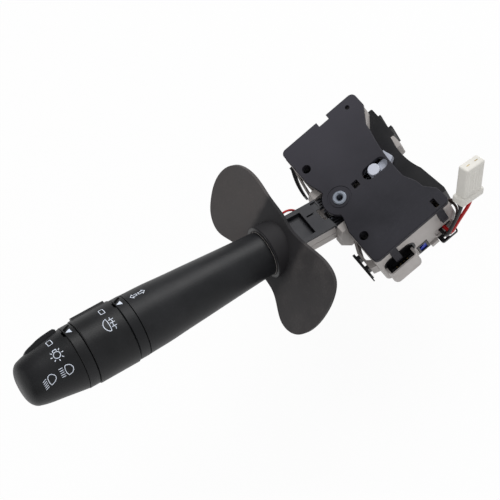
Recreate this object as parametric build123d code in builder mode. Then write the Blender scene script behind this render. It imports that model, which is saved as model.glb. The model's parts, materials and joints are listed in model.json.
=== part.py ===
import os
from math import cos, pi, radians, sin, tan

from build123d import *

os.makedirs("parts", exist_ok=True)

# Combination stalk switch of a car's steering column, in millimetres.
# The frame's origin is the middle of the two column screws, on the face that meets the column.
# +X points at the column, the lever reaches out along -X and rises, and +Z faces the driver.

# Housing sizes
screw_spacing = 43.0
screw_hole_d = 4.2
pivot_x = 2.8
housing_y = 34.8
front_x = -4.2
column_x = 37.9
plate_top = 26.0
cover_t = 2.2
base_t = 3.3
wall = 2.0
fit_gap = 0.15
cover_bottom = plate_top - cover_t
mouth_y = 15.8
tower_r = 4.2

# Turn pivot
rivet_shank_r = 2.5
rivet_bore_r = 1.5
rivet_head_r = 3.2
rivet_head_t = 0.7
boss_r = 8.2
run_gap = 0.06
swing = 11.5

# Lever line
lever_rise = 24.6
lever_z = 14.4
pin_s = 8.8
pin_r = 1.2
arm_half_y = 8.3
arm_half_h = 5.3
arm_start = 5.8
arm_end = 42.0
flange_r = 10.3
cap_t = 1.3
cap_start = 12.6
arm_wall = 1.5

# Cradle sizes
cradle_floor = 6.6
cradle_floor_t = 2.4
cradle_top = 23.4
cradle_ear_t = 1.3
cheek_gap = 0.4
cheek_t = 4.0
hub_wall = 1.2
cheek_inner = arm_half_y + cheek_gap
cheek_outer = cheek_inner + cheek_t
tail_x = 11.5
tail_half_y = 5.0
tail_bottom = 8.2
tail_top = 17.0

# Stalk sizes, as distances along the lever line from the pivot
tube_start = 45.2
seam_1 = 111.3
ring_w = 5.0
seam_w = 0.3
fog_end = 135.6
ring_r = 14.1
fog_r = 14.5
tube_wall = 1.9
neck_r = 10.2
collar_in_r = 10.5
collar_out_r = 12.2
core_r = 6.0
core_start = 76.0
core_end = 150.0
shaft_r = 3.9
shaft_start = 63.0
shaft_gap = 0.08
cap_end = 166.0
marker_angle = 23.0
ridge_angle = 61.5
notch_w = 5.4
notch_d = 2.5

# Shield sizes
shield_s = 39.6
shield_tilt = 47.0
shield_t = 1.7
shield_bend_r = 250.0

# Printed-side details of the end face
leg_w = 3.4
leg_x = (5.2, 31.4)
wire_d = 1.6

lever_tip = Vector(-cos(radians(lever_rise)), 0, sin(radians(lever_rise)))
lever_up = Vector(sin(radians(lever_rise)), 0, cos(radians(lever_rise)))
lever_base = Vector(pivot_x, 0, lever_z)
lever_plane = Plane(origin=lever_base, x_dir=lever_up, z_dir=lever_tip)
side_plane = Plane(origin=lever_base, x_dir=lever_tip, z_dir=(0, 1, 0))
lever_axis = Axis(lever_base, lever_tip)


def on_lever(s, h=0.0, y=0.0):
    return lever_base + lever_tip * s + lever_up * h + Vector(0, y, 0)


def radial_plane(s, angle, r):
    # Plane that touches a circle of radius r around the lever line, facing outwards.
    out = lever_up * cos(radians(angle)) + Vector(0, 1, 0) * sin(radians(angle))
    return Plane(origin=on_lever(s) + out * r, x_dir=lever_tip, z_dir=out)


def save(part, name):
    part.label = name
    export_step(part, "parts/" + name + ".step")
    print(f"{name}: {len(part.solids())} solid(s), {part.volume:.1f} mm3")


def coil(start, direction, length, radius, wire_r, pitch):
    # Round-wire spring wound about the line that leaves start in the given direction.
    with BuildPart() as spring:
        with BuildLine() as turns:
            Helix(pitch, length, radius, center=start, direction=direction)
        first = turns.edges()[0]
        with BuildSketch(Plane(origin=first @ 0, z_dir=first % 0)):
            Circle(wire_r)
        sweep(path=turns.line, is_frenet=True)
    return spring.part


# Column-side line of the plate: hollowed to go round the steering column
front_edge_x = -4.0
nose_edge_x = front_edge_x + 2.2
back_edge_x = 38.3
cover_y = housing_y + 1.6
corner_in = (38.3, 28.2)
arc_start = (33.4, 20.4)
arc_top = (32.9, 16.6)
arc_mid = (30.5, 3.0)
arc_low = (30.0, -11.6)
step_in = (32.6, -17.2)
step_low = (33.4, -21.6)
step_end = (37.2, -26.4)

with BuildSketch() as cover_outline:
    with BuildLine():
        Line((front_edge_x, -housing_y), (column_x, -housing_y))
        Polyline((column_x, -housing_y), step_end, step_low, step_in, arc_low)
        ThreePointArc(arc_low, arc_mid, arc_top)
        Polyline(arc_top, arc_start, corner_in, (back_edge_x, cover_y), (front_edge_x, cover_y))
        Polyline(
            (front_edge_x, cover_y),
            (front_edge_x, mouth_y),
            (nose_edge_x, boss_r),
            (nose_edge_x, -boss_r),
            (front_edge_x, -mouth_y),
            (front_edge_x, -housing_y),
        )
    make_face()

body_y = housing_y - 0.2
body_step = 0.8
body_in = (arc_start[0] - 0.2, arc_start[1] - 1.2)
body_corner = (corner_in[0] - 0.6, corner_in[1] - 3.0)
with BuildSketch() as body_outline:
    with BuildLine():
        Line((front_x, -body_y), (column_x - body_step, -body_y))
        Polyline(
            (column_x - body_step, -body_y),
            (step_end[0] - body_step, step_end[1] - 0.4),
            (step_low[0] - body_step, step_low[1] + 0.3),
            (step_in[0] - body_step, step_in[1] + 0.3),
            (arc_low[0] - body_step, arc_low[1] + 0.3),
        )
        ThreePointArc(
            (arc_low[0] - body_step, arc_low[1] + 0.3),
            (arc_mid[0] - body_step, arc_mid[1]),
            body_in,
        )
        Polyline(body_in, body_corner, (back_edge_x, body_y))
        Line((back_edge_x, body_y), (front_x, body_y))
        Line((front_x, body_y), (front_x, -body_y))
    make_face()

# Top cover, with its snap legs and the seat of the cancel spring
slot_x0 = 16.5
slot_x1 = 29.4
slot_w = 6.2
spring_seat_x = 14.2
spring_seat_t = 1.2
slider_z = 20.1
leg_foot = plate_top - 12.4
leg_tip_r = 1.4
sleeve_r = screw_hole_d / 2 + 0.8
dish_r = (4.5, 5.7)
dish_depth = 0.25


def snap_leg(x, side):
    # Springy leg with a rounded foot that bulges out through the wall of the body.
    inner = side * (housing_y - 1.5)
    with BuildPart() as leg:
        with BuildSketch(Plane(origin=(x - leg_w / 2, 0, 0), x_dir=(0, 1, 0), z_dir=(1, 0, 0))):
            with BuildLine():
                Polyline(
                    (inner, cover_bottom + 0.4),
                    (side * (housing_y - 0.1), cover_bottom + 0.4),
                    (side * (housing_y + 0.2), cover_bottom - 1.4),
                    (side * (housing_y + 1.7), leg_foot + 3.2),
                    (side * (housing_y + 1.4), leg_foot + 0.6),
                    (side * (housing_y + 0.6), leg_foot),
                    (inner, leg_foot),
                    close=True,
                )
            make_face()
        extrude(amount=leg_w)
        with BuildSketch(Plane.XZ):
            with Locations((x, (leg_foot + cover_bottom + 4.0) / 2)):
                RectangleRounded(leg_w, cover_bottom + 4.0 - leg_foot, leg_tip_r)
        extrude(amount=housing_y + 5.0, both=True, mode=Mode.INTERSECT)
    return leg.part


legs = [snap_leg(x, side) for side in (-1, 1) for x in leg_x]

with BuildPart() as top_cover:
    with BuildSketch(Plane.XY.offset(cover_bottom)):
        add(cover_outline.sketch)
        with Locations((19.8, cover_y)):
            Rectangle(5.6, 5.0, mode=Mode.SUBTRACT)
        with Locations((pivot_x, 0)):
            Circle(boss_r)
    extrude(amount=cover_t)
    upright = top_cover.edges().filter_by(Axis.Z)
    outer_corners = upright.filter_by(lambda e: abs(e.center().Y) > housing_y - 0.5)
    fillet(outer_corners.filter_by(lambda e: not 16 < e.center().X < 24), 2.6)
    chamfer(top_cover.faces().sort_by(Axis.Z)[-1].outer_wire().edges(), 0.35)
    with BuildSketch(Plane.XY.offset(plate_top)):
        with Locations((0, screw_spacing / 2), (0, -screw_spacing / 2)):
            Circle(screw_hole_d / 2)
        with Locations((32.0, 32.0)):
            Circle(1.1)
        with Locations((32.0, -31.4)):
            Rectangle(2.2, 4.6)
        with Locations((12.1, 0)):
            Rectangle(3.2, 3.2)
        with Locations((pivot_x, 0)):
            Circle(rivet_shank_r + run_gap)
        with Locations(((slot_x0 + slot_x1) / 2, 0)):
            SlotOverall(slot_x1 - slot_x0, slot_w)
    extrude(amount=-cover_t, mode=Mode.SUBTRACT)
    with BuildSketch(Plane.XY.offset(cover_bottom)):
        with Locations((spring_seat_x + spring_seat_t / 2, 0)):
            Rectangle(spring_seat_t, 4.4)
    extrude(amount=slider_z - cover_bottom)
    for leg in legs:
        add(leg)
    # Sleeves that line the screw holes down to the bottom cover
    with BuildSketch(Plane.XY.offset(base_t + fit_gap)):
        with Locations((0, screw_spacing / 2), (0, -screw_spacing / 2)):
            Circle(sleeve_r)
            Circle(screw_hole_d / 2, mode=Mode.SUBTRACT)
    extrude(amount=cover_bottom - base_t - fit_gap)
    # Shallow ring pressed into the plate round the rivet
    with BuildSketch(Plane.XY.offset(plate_top)):
        with Locations((pivot_x, 0)):
            Circle(dish_r[1])
            Circle(dish_r[0], mode=Mode.SUBTRACT)
    extrude(amount=-dish_depth, mode=Mode.SUBTRACT)
save(top_cover.part, "top_cover")

# Housing body: a pale box open above and below, with a mouth for the cradle
plug_x0 = 33.2
plug_x1 = 40.4
plug_y0 = 11.2
plug_y1 = 28.4
plug_top = 16.2
carrier_top = 19.6
finger_gap = (-3.6, 6.4)
end_hole_x = (-2.2, 14.6)
end_hole_top = 18.8
end_hole_low = 8.0
end_hole_r = 4.6
shell_x = (-2.4, 12.9)
shell_y = 38.9
shell_top = 13.1
window_x = (14.2, 20.1)
window_top = 8.6
wire_slot_x = (26.6, 33.4)
wire_slot_z = (3.9, 6.7)
panel_x = (24.3, 34.4)
panel_z = (3.6, 9.2)
lip_z = (9.0, 16.5)
lip_out_x = -7.2
lip_in_x = lip_out_x + 1.1
rib_y = mouth_y + 1.4
upper_lip = [
    (front_x + 0.1, 30.4),
    (front_x - 0.2, 30.4),
    (-5.9, 22.4),
    (-6.9, mouth_y),
    (-6.0, mouth_y),
    (-5.0, 22.4),
    (front_x + 0.1, 28.6),
]
lower_lip = [
    (front_x + 0.1, -mouth_y),
    (front_x - 0.5, -mouth_y),
    (lip_out_x, -21.8),
    (lip_out_x, -31.2),
    (front_x + 0.1, -32.2),
    (front_x + 0.1, -28.6),
    (lip_in_x, -26.9),
    (lip_in_x, -22.2),
    (front_x + 0.1, -mouth_y - 1.4),
]

with BuildPart() as housing_body:
    with BuildSketch(Plane.XY.offset(base_t)):
        add(body_outline.sketch)
        offset(body_outline.sketch, amount=-wall, mode=Mode.SUBTRACT)
        with Locations((0, screw_spacing / 2), (0, -screw_spacing / 2)):
            Circle(tower_r)
    extrude(amount=cover_bottom - base_t)
    # Lips on both sides of the mouth that carry the guide rails
    with BuildSketch(Plane.XY.offset(lip_z[0])):
        for lip in (upper_lip, lower_lip):
            with BuildLine():
                Polyline(*lip, close=True)
            make_face()
    extrude(amount=lip_z[1] - lip_z[0])
    with BuildSketch(Plane.XY.offset(lip_z[0])):
        with Locations(((front_x - 6.4) / 2, rib_y)):
            Rectangle(6.4 + front_x + 0.4, 1.0)
    extrude(amount=3.0)
    upright = housing_body.edges().filter_by(Axis.Z)
    fillet(upright.filter_by(lambda e: abs(e.center().Y) > body_y - 0.01 and e.center().X < 0), 2.2)
    with BuildSketch(Plane.XY.offset(base_t)):
        with Locations((0, screw_spacing / 2), (0, -screw_spacing / 2)):
            Circle(sleeve_r + fit_gap)
        with Locations((front_x, 0)):
            Rectangle(6.4, 2 * mouth_y)
    extrude(amount=cover_bottom - base_t, mode=Mode.SUBTRACT)
    # Gap for the cancel finger in the column-side wall
    with BuildSketch(Plane.XY.offset(carrier_top + fit_gap)):
        with Locations((29, sum(finger_gap) / 2)):
            Rectangle(6, finger_gap[1] - finger_gap[0])
    extrude(amount=cover_bottom - carrier_top, mode=Mode.SUBTRACT)
    # Grooves for the cover's snap legs
    for side in (-1, 1):
        with BuildSketch(Plane.XY.offset(leg_foot - 0.3)):
            with Locations((leg_x[0], side * body_y), (leg_x[1], side * body_y)):
                Rectangle(leg_w + 0.4, 3.2)
        extrude(amount=cover_bottom - leg_foot + 1, mode=Mode.SUBTRACT)
    # Openings in the end wall: connector, colour key, wire exit
    end_plane = Plane(origin=(0, -body_y - 1, 0), x_dir=(1, 0, 0), z_dir=(0, -1, 0))
    with BuildSketch(end_plane):
        with Locations((sum(end_hole_x) / 2, (end_hole_top + end_hole_low) / 2)):
            RectangleRounded(end_hole_x[1] - end_hole_x[0], end_hole_top - end_hole_low, end_hole_r)
        with Locations(((shell_x[0] + shell_x[1]) / 2, base_t + 4)):
            Rectangle(shell_x[1] - shell_x[0] - 2.2, 8.2)
        with Locations(((window_x[0] + window_x[1]) / 2, (window_top + base_t) / 2)):
            Rectangle(window_x[1] - window_x[0], window_top - base_t)
        with Locations((sum(wire_slot_x) / 2, sum(wire_slot_z) / 2)):
            RectangleRounded(wire_slot_x[1] - wire_slot_x[0], wire_slot_z[1] - wire_slot_z[0], 0.8)
    extrude(amount=-(wall + 1.5), mode=Mode.SUBTRACT)
    # Shallow panel beside the wire exit
    with BuildSketch(Plane(origin=(0, -body_y, 0), x_dir=(1, 0, 0), z_dir=(0, -1, 0))):
        with Locations((sum(panel_x) / 2, sum(panel_z) / 2)):
            RectangleRounded(panel_x[1] - panel_x[0], panel_z[1] - panel_z[0], 1.6)
    extrude(amount=-0.8, mode=Mode.SUBTRACT)
    # Room for the main connector and a notch for the harness
    with BuildSketch(Plane.XY.offset(base_t)):
        with Locations(((plug_x0 + plug_x1) / 2, (plug_y0 + plug_y1) / 2)):
            Rectangle(plug_x1 - plug_x0 + 2 * fit_gap, plug_y1 - plug_y0 + 2 * fit_gap)
    extrude(amount=plug_top - base_t + fit_gap, mode=Mode.SUBTRACT)
    with BuildSketch(Plane.XY.offset(18.2)):
        with Locations((column_x - body_step, -31.0)):
            Rectangle(5.0, 4.4)
    extrude(amount=3.6, mode=Mode.SUBTRACT)
save(housing_body.part, "housing_body")

# Bottom cover: the face that lies on the column bracket
key_floor = 0.8
guide_z = (0.6, 1.8)
guide_x = (24.6, 33.6)
guide_y = -38.2
guide_root_y = -32.0
ledge_x = (window_x[1] + 0.3, guide_x[0] - 0.3)
ledge_out = 1.2
ledge_top = base_t - 0.7
with BuildPart() as bottom_cover:
    with BuildSketch():
        add(body_outline.sketch)
    extrude(amount=base_t)
    upright = bottom_cover.edges().filter_by(Axis.Z)
    fillet(upright.filter_by(lambda e: abs(e.center().Y) > body_y - 0.01 and e.center().X < 0), 2.2)
    chamfer(bottom_cover.faces().sort_by(Axis.Z)[0].outer_wire().edges(), 0.4)
    with BuildSketch():
        with Locations((sum(ledge_x) / 2, -body_y)):
            Rectangle(ledge_x[1] - ledge_x[0], 2 * ledge_out)
    extrude(amount=ledge_top)
    with BuildSketch(Plane.XY.offset(ledge_top)):
        with Locations((sum(ledge_x) / 2, -body_y)):
            Rectangle(ledge_x[1] - ledge_x[0], ledge_out)
    extrude(amount=base_t - ledge_top, mode=Mode.SUBTRACT)
    with BuildSketch():
        with Locations((0, screw_spacing / 2), (0, -screw_spacing / 2)):
            Circle(screw_hole_d / 2)
        with Locations((pivot_x, 0)):
            Circle(rivet_shank_r + run_gap)
        with Locations(((plug_x0 + plug_x1) / 2, (plug_y0 + plug_y1) / 2)):
            Rectangle(plug_x1 - plug_x0 + 2 * fit_gap, plug_y1 - plug_y0 + 2 * fit_gap)
    extrude(amount=base_t, mode=Mode.SUBTRACT)
    with BuildSketch():
        with Locations((pivot_x, 0)):
            Circle(rivet_head_r + 0.9)
    extrude(amount=1.3, mode=Mode.SUBTRACT)
    with BuildSketch(Plane.XY.offset(base_t)):
        with Locations(((window_x[0] + window_x[1]) / 2, -body_y)):
            Rectangle(window_x[1] - window_x[0], 8.0)
    extrude(amount=-(base_t - key_floor), mode=Mode.SUBTRACT)
    with BuildSketch(Plane.XY.offset(guide_z[0])):
        with Locations((sum(guide_x) / 2, (guide_root_y - body_y - 1) / 2)):
            Rectangle(guide_x[1] - guide_x[0], guide_root_y + body_y + 1)
    extrude(amount=guide_z[1] - guide_z[0], mode=Mode.SUBTRACT)
save(bottom_cover.part, "bottom_cover")

# Wire guide: a flat plate with two eyes, pushed into a slot of the bottom cover
eye_mid = (30.9, -36.6)
with BuildPart() as wire_guide:
    with BuildSketch(Plane.XY.offset(guide_z[0])):
        with Locations((sum(guide_x) / 2, (guide_root_y + guide_y) / 2)):
            RectangleRounded(guide_x[1] - guide_x[0], guide_root_y - guide_y, 1.2)
        with Locations(eye_mid):
            RectangleRounded(4.0, 2.4, 0.8, mode=Mode.SUBTRACT)
        with Locations((27.1, eye_mid[1])):
            Circle(0.6, mode=Mode.SUBTRACT)
    extrude(amount=guide_z[1] - guide_z[0])
save(wire_guide.part, "wire_guide")

# Shell and insert of the connector on the end wall
with BuildPart() as end_shell:
    with BuildSketch(Plane.XY.offset(0.2)):
        with Locations(((shell_x[0] + shell_x[1]) / 2, -(shell_y + body_y + fit_gap) / 2)):
            Rectangle(shell_x[1] - shell_x[0], shell_y - body_y - fit_gap)
    extrude(amount=shell_top - 0.2)
    upright = end_shell.edges().filter_by(Axis.Z).group_by(Axis.Y)[0]
    fillet(upright, 2.4)
    fillet(end_shell.faces().sort_by(Axis.Z)[0].edges().group_by(Axis.Y)[0], 1.2)
    with BuildSketch(Plane.XY.offset(shell_top)):
        with Locations(((shell_x[0] + shell_x[1]) / 2, -(shell_y + body_y) / 2 + 0.7)):
            Rectangle(shell_x[1] - shell_x[0] - 2.2, shell_y - body_y)
    extrude(amount=-(shell_top - 1.5), mode=Mode.SUBTRACT)
save(end_shell.part, "end_shell")

insert_x = (shell_x[0] + 1.2, shell_x[1] - 1.2)
insert_front = -(shell_y - 1.35)
rim_back = -32.0
rim_proud = 0.1
rim_t = 0.9
rim_depth = 1.4
rim_size = (end_hole_x[1] - end_hole_x[0] - 2 * fit_gap, end_hole_top - end_hole_low - 2 * fit_gap)
with BuildPart() as end_insert:
    with BuildSketch(Plane.XY.offset(base_t + 0.2)):
        with Locations(((insert_x[0] + insert_x[1]) / 2, (insert_front - 31.4) / 2)):
            Rectangle(insert_x[1] - insert_x[0], -31.4 - insert_front)
    extrude(amount=6.4)
    with BuildSketch(Plane.XY.offset(1.6)):
        with Locations(((insert_x[0] + insert_x[1]) / 2, (insert_front - body_y - 0.2) / 2)):
            Rectangle(insert_x[1] - insert_x[0], -body_y - 0.2 - insert_front)
    extrude(amount=2.2)
    with BuildSketch(Plane.XY.offset(base_t + 0.2)):
        with Locations(((end_hole_x[0] + end_hole_x[1]) / 2, -31.7)):
            Rectangle(end_hole_x[1] - end_hole_x[0] - 1.4, 1.2)
    extrude(amount=end_hole_top - base_t - 0.6)
    # Rimmed face that fills the rounded opening of the wall
    with BuildSketch(Plane(origin=(0, rim_back, 0), x_dir=(1, 0, 0), z_dir=(0, -1, 0))):
        with Locations((sum(end_hole_x) / 2, (end_hole_top + end_hole_low) / 2)):
            RectangleRounded(rim_size[0], rim_size[1], end_hole_r - fit_gap)
    extrude(amount=rim_back + body_y + rim_proud)
    with BuildSketch(Plane(origin=(0, -body_y - rim_proud, 0), x_dir=(1, 0, 0), z_dir=(0, -1, 0))):
        with Locations((sum(end_hole_x) / 2, (end_hole_top + end_hole_low) / 2)):
            RectangleRounded(rim_size[0] - 2 * rim_t, rim_size[1] - 2 * rim_t, end_hole_r - fit_gap - rim_t)
    extrude(amount=-rim_depth, mode=Mode.SUBTRACT)
    # Groove that the cover's snap leg comes down in
    with BuildSketch(Plane.XY.offset(leg_foot - 0.3)):
        with Locations((leg_x[0], -(housing_y + 0.5))):
            Rectangle(leg_w + 0.4, 4.4)
    extrude(amount=end_hole_top - leg_foot + 1, mode=Mode.SUBTRACT)
    with BuildSketch(Plane.XY.offset(9.8)):
        with Locations((insert_x[0] + 1.8, insert_front + 0.4), (insert_x[1] - 1.8, insert_front + 0.4)):
            Rectangle(2.6, 0.8)
    extrude(amount=2.6)
    with BuildSketch(Plane.XY.offset(9.9)):
        with Locations(((insert_x[0] + insert_x[1]) / 2, -35.6)):
            Rectangle(insert_x[1] - insert_x[0] - 3.0, 1.8)
    extrude(amount=-5.4, mode=Mode.SUBTRACT)
save(end_insert.part, "end_insert")

with BuildPart() as end_contacts:
    with BuildSketch(Plane.XY.offset(4.5)):
        with Locations(((insert_x[0] + insert_x[1]) / 2, -35.6)):
            with GridLocations(2.0, 1, 4, 1):
                Rectangle(0.8, 0.6)
    extrude(amount=4.2)
save(end_contacts.part, "end_contacts")

# Dark frame in the window beside it, with the coloured coding key
key_front = -34.2
key_back = -31.2
frame_t = 1.0
frame_x = (window_x[0] + fit_gap, window_x[1] - fit_gap)
frame_top = window_top - fit_gap
with BuildPart() as key_frame:
    with BuildSketch(Plane(origin=(0, key_back, 0), x_dir=(1, 0, 0), z_dir=(0, -1, 0))):
        with Locations((sum(frame_x) / 2, (key_floor + frame_top) / 2)):
            Rectangle(frame_x[1] - frame_x[0], frame_top - key_floor)
            Rectangle(frame_x[1] - frame_x[0] - 2 * frame_t, frame_top - key_floor - 2 * frame_t, mode=Mode.SUBTRACT)
    extrude(amount=key_back + body_y + 0.2)
save(key_frame.part, "key_frame")

with BuildPart() as colour_key:
    with BuildSketch(Plane(origin=(0, key_back, 0), x_dir=(1, 0, 0), z_dir=(0, -1, 0))):
        with BuildLine():
            Polyline(
                (frame_x[0] + frame_t, key_floor + frame_t),
                (frame_x[1] - frame_t, key_floor + frame_t),
                (frame_x[1] - frame_t, key_floor + frame_t + 4.6),
                (frame_x[0] + frame_t, key_floor + frame_t + 1.6),
                close=True,
            )
        make_face()
    extrude(amount=key_back - key_front)
save(colour_key.part, "colour_key")

# Terminal carrier on the column side, with the main connector under it
carrier_low_y = -27.4
carrier_top_y = plug_y1 - 1.0
carrier_in_x = arc_mid[0] - 2.5
carrier_upper = [
    (carrier_in_x, carrier_top_y),
    (37.7, carrier_top_y),
    (37.9, 17.5),
    (37.7, 9.1),
    (36.9, 5.9),
    (36.6, 3.0),
]
carrier_mid = (36.5, -1.6)
carrier_lower = [(38.6, -11.4), (40.3, -25.6), (40.0, carrier_low_y)]
with BuildPart() as terminal_carrier:
    with BuildSketch(Plane.XY.offset(plug_top)) as carrier_outline:
        with BuildLine():
            Polyline(*carrier_upper)
            ThreePointArc(carrier_upper[-1], carrier_mid, carrier_lower[0])
            Polyline(*carrier_lower, (carrier_in_x, carrier_low_y), carrier_upper[0])
        make_face()
        offset(body_outline.sketch, amount=fit_gap, mode=Mode.SUBTRACT)
        with Locations((carrier_in_x - 2.0, 0)):
            Rectangle(6.0, 80, mode=Mode.SUBTRACT)
    extrude(amount=carrier_top - plug_top)
    with BuildSketch(Plane.XY.offset(base_t)):
        add(carrier_outline.sketch.moved(Location((0, 0, -plug_top))))
        with Locations((34, 19.9)):
            Rectangle(20, 30, mode=Mode.SUBTRACT)
    extrude(amount=plug_top - base_t)
save(terminal_carrier.part, "terminal_carrier")

plug_mid = ((plug_x0 + plug_x1) / 2, (plug_y0 + plug_y1) / 2)
plug_size = (plug_x1 - plug_x0, plug_y1 - plug_y0)
plug_low = 0.6
shroud_t = 1.1
shroud_depth = 11.6
pin_recess = 4.7

with BuildPart() as main_connector:
    with BuildSketch(Plane.XY.offset(plug_low)):
        with Locations(plug_mid):
            RectangleRounded(plug_size[0], plug_size[1], 0.7)
        with Locations((plug_x1 + 0.4, 22.9)):
            Rectangle(1.4, 1.1)
        with Locations((plug_x1 + 0.6, 15.1)):
            Rectangle(1.8, 1.5)
    extrude(amount=plug_top - plug_low)
    with BuildSketch(Plane.XY.offset(plug_low)):
        with Locations(plug_mid):
            Rectangle(plug_size[0] - 2 * shroud_t, plug_size[1] - 2 * shroud_t)
    extrude(amount=shroud_depth, mode=Mode.SUBTRACT)
save(main_connector.part, "main_connector")

with BuildPart() as main_contacts:
    with BuildSketch(Plane.XY.offset(plug_low + pin_recess)):
        with Locations(plug_mid):
            with GridLocations(2.5, 2.4, 2, 6):
                Rectangle(0.7, 0.7)
    extrude(amount=shroud_depth - pin_recess)
save(main_contacts.part, "main_contacts")

with BuildPart() as connector_lock:
    with BuildSketch(Plane.XY.offset(7.0)):
        with Locations(((34.4 + 39.6) / 2, (5.2 + plug_y0) / 2)):
            Rectangle(5.2, plug_y0 - 5.2)
    extrude(amount=plug_top - 7.0)
    fillet(connector_lock.edges().filter_by(Axis.Z).group_by(Axis.X)[-1], 0.8)
save(connector_lock.part, "connector_lock")

# Guide rails in front of the lips: a straight one on two posts and a bowed one
rail_z0 = 11.0
rail_z1 = 15.5
rail_t = 1.2
post_w = 2.0
lower_rail_x = -8.9
with BuildPart() as lower_rail:
    with BuildSketch(Plane.XY.offset(rail_z0)):
        with Locations((lower_rail_x, -27.0)):
            Rectangle(rail_t, 12.8)
        with Locations(((lower_rail_x + lip_out_x) / 2, -23.2), ((lower_rail_x + lip_out_x) / 2, -29.4)):
            Rectangle(lip_out_x - lower_rail_x, post_w)
    extrude(amount=rail_z1 - rail_z0)
    # Thin tail at the rail's far end
    with BuildSketch(Plane.XY.offset(rail_z0)):
        with Locations((lower_rail_x - rail_t / 4, -34.0)):
            Rectangle(rail_t / 2, 1.6)
    extrude(amount=2.0)
save(lower_rail.part, "lower_rail")

upper_rail_end = (front_x - rail_t / 2, 32.4)
with BuildPart() as upper_rail:
    with BuildSketch(Plane.XY.offset(rail_z0)):
        with BuildLine(mode=Mode.PRIVATE) as upper_middle:
            ThreePointArc((upper_rail_end[0], 31.6), (-7.2, 24.6), (-8.3, 17.6))
        SlotArc(upper_middle.line.edge(), rail_t)
        with Locations((upper_rail_end[0], 32.2)):
            Rectangle(rail_t, 1.8)
    extrude(amount=rail_z1 - rail_z0)
save(upper_rail.part, "upper_rail")

# Hollow rivet through cover, cradle and bottom cover
rivet_low = 0.6
rivet_low_face = 1.3
with BuildPart() as pivot_rivet:
    with BuildSketch(Plane.XZ):
        with BuildLine():
            Polyline(
                (pivot_x + rivet_bore_r, rivet_low),
                (pivot_x + rivet_head_r, rivet_low),
                (pivot_x + rivet_head_r, rivet_low_face),
                (pivot_x + rivet_shank_r, rivet_low_face),
                (pivot_x + rivet_shank_r, plate_top),
                (pivot_x + rivet_head_r, plate_top),
                (pivot_x + rivet_head_r, plate_top + 0.3),
                (pivot_x + rivet_head_r - 0.5, plate_top + rivet_head_t),
                (pivot_x + rivet_bore_r + 0.5, plate_top + rivet_head_t),
                (pivot_x + rivet_bore_r, plate_top + 0.2),
                close=True,
            )
        make_face()
    revolve(axis=Axis((pivot_x, 0, 0), (0, 0, 1)))
save(pivot_rivet.part, "pivot_rivet")

# Contact board on the floor of the housing
board_t = 1.4
with BuildPart() as contact_board:
    with BuildSketch(Plane.XY.offset(base_t)):
        with Locations((12.2, 0)):
            Rectangle(28.8, 60.6)
        with Locations((0, screw_spacing / 2), (0, -screw_spacing / 2)):
            Circle(tower_r + fit_gap, mode=Mode.SUBTRACT)
        with Locations((pivot_x, 0)):
            Circle(rivet_shank_r + 0.4, mode=Mode.SUBTRACT)
    extrude(amount=board_t)
save(contact_board.part, "contact_board")

# Ramp with three hollows that holds the lever in its turn positions
ramp_in_r = 15.75
ramp_out_r = 18.0
ramp_top = slider_z - 0.35
board_top = base_t + board_t
with BuildPart() as detent_ramp:
    with BuildSketch(Plane.XY.offset(board_top)):
        with Locations((pivot_x, 0)):
            Circle(ramp_out_r)
            Circle(ramp_in_r, mode=Mode.SUBTRACT)
            for turn in (-swing, 0, swing):
                with Locations(Rotation(0, 0, turn) * Location((ramp_in_r + 0.6, 0))):
                    Circle(1.3, mode=Mode.SUBTRACT)
        with BuildLine():
            Polyline((pivot_x, 0), (pivot_x + 30, 10.2), (pivot_x + 30, -10.2), close=True)
        make_face(mode=Mode.INTERSECT)
    extrude(amount=ramp_top - board_top)
    with BuildSketch(Plane.XY.offset(board_top)):
        with Locations((pivot_x + ramp_out_r + 1.6, 0)):
            Rectangle(4.6, 10.0)
    extrude(amount=2.0)
save(detent_ramp.part, "detent_ramp")

# Cancel slider with its round head in the cover's slot and a finger for the column's cam
bar_x0 = 19.4
bar_x1 = 29.4
bar_w = 3.8
head_x = 22.3
head_r = 2.8
slider_top = cover_bottom - 0.4
with BuildPart() as cancel_slider:
    with BuildSketch(Plane.XY.offset(slider_z)):
        with BuildLine():
            Polyline(
                (bar_x0, -bar_w / 2),
                (bar_x1, -bar_w / 2),
                (bar_x1 + 1.7, -0.7),
                (bar_x1 + 3.2, 0.3),
                (bar_x1 + 1.8, 5.2),
                (bar_x1 - 0.4, 5.2),
                (bar_x1 - 0.4, bar_w / 2),
                (bar_x0, bar_w / 2),
                close=True,
            )
        make_face()
    extrude(amount=slider_top - slider_z)
    fillet(cancel_slider.edges().filter_by(Axis.Z).group_by(Axis.X)[-1], 0.3)
    with BuildSketch(Plane.XY.offset(slider_z)):
        with Locations((head_x, 0)):
            Circle(head_r)
    extrude(amount=plate_top - 0.2 - slider_z)
    fillet(cancel_slider.faces().sort_by(Axis.Z)[-1].edges(), 0.4)
save(cancel_slider.part, "cancel_slider")

spring_wire_r = 0.25
spring_x0 = spring_seat_x + spring_seat_t
spring_z = (slider_z + slider_top) / 2
cancel_room = bar_x0 - spring_x0 - 2 * spring_wire_r
cancel_spring = coil((spring_x0 + spring_wire_r, 0, spring_z), (1, 0, 0), cancel_room, 1.25, spring_wire_r, 0.85)
save(cancel_spring, "cancel_spring")

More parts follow.
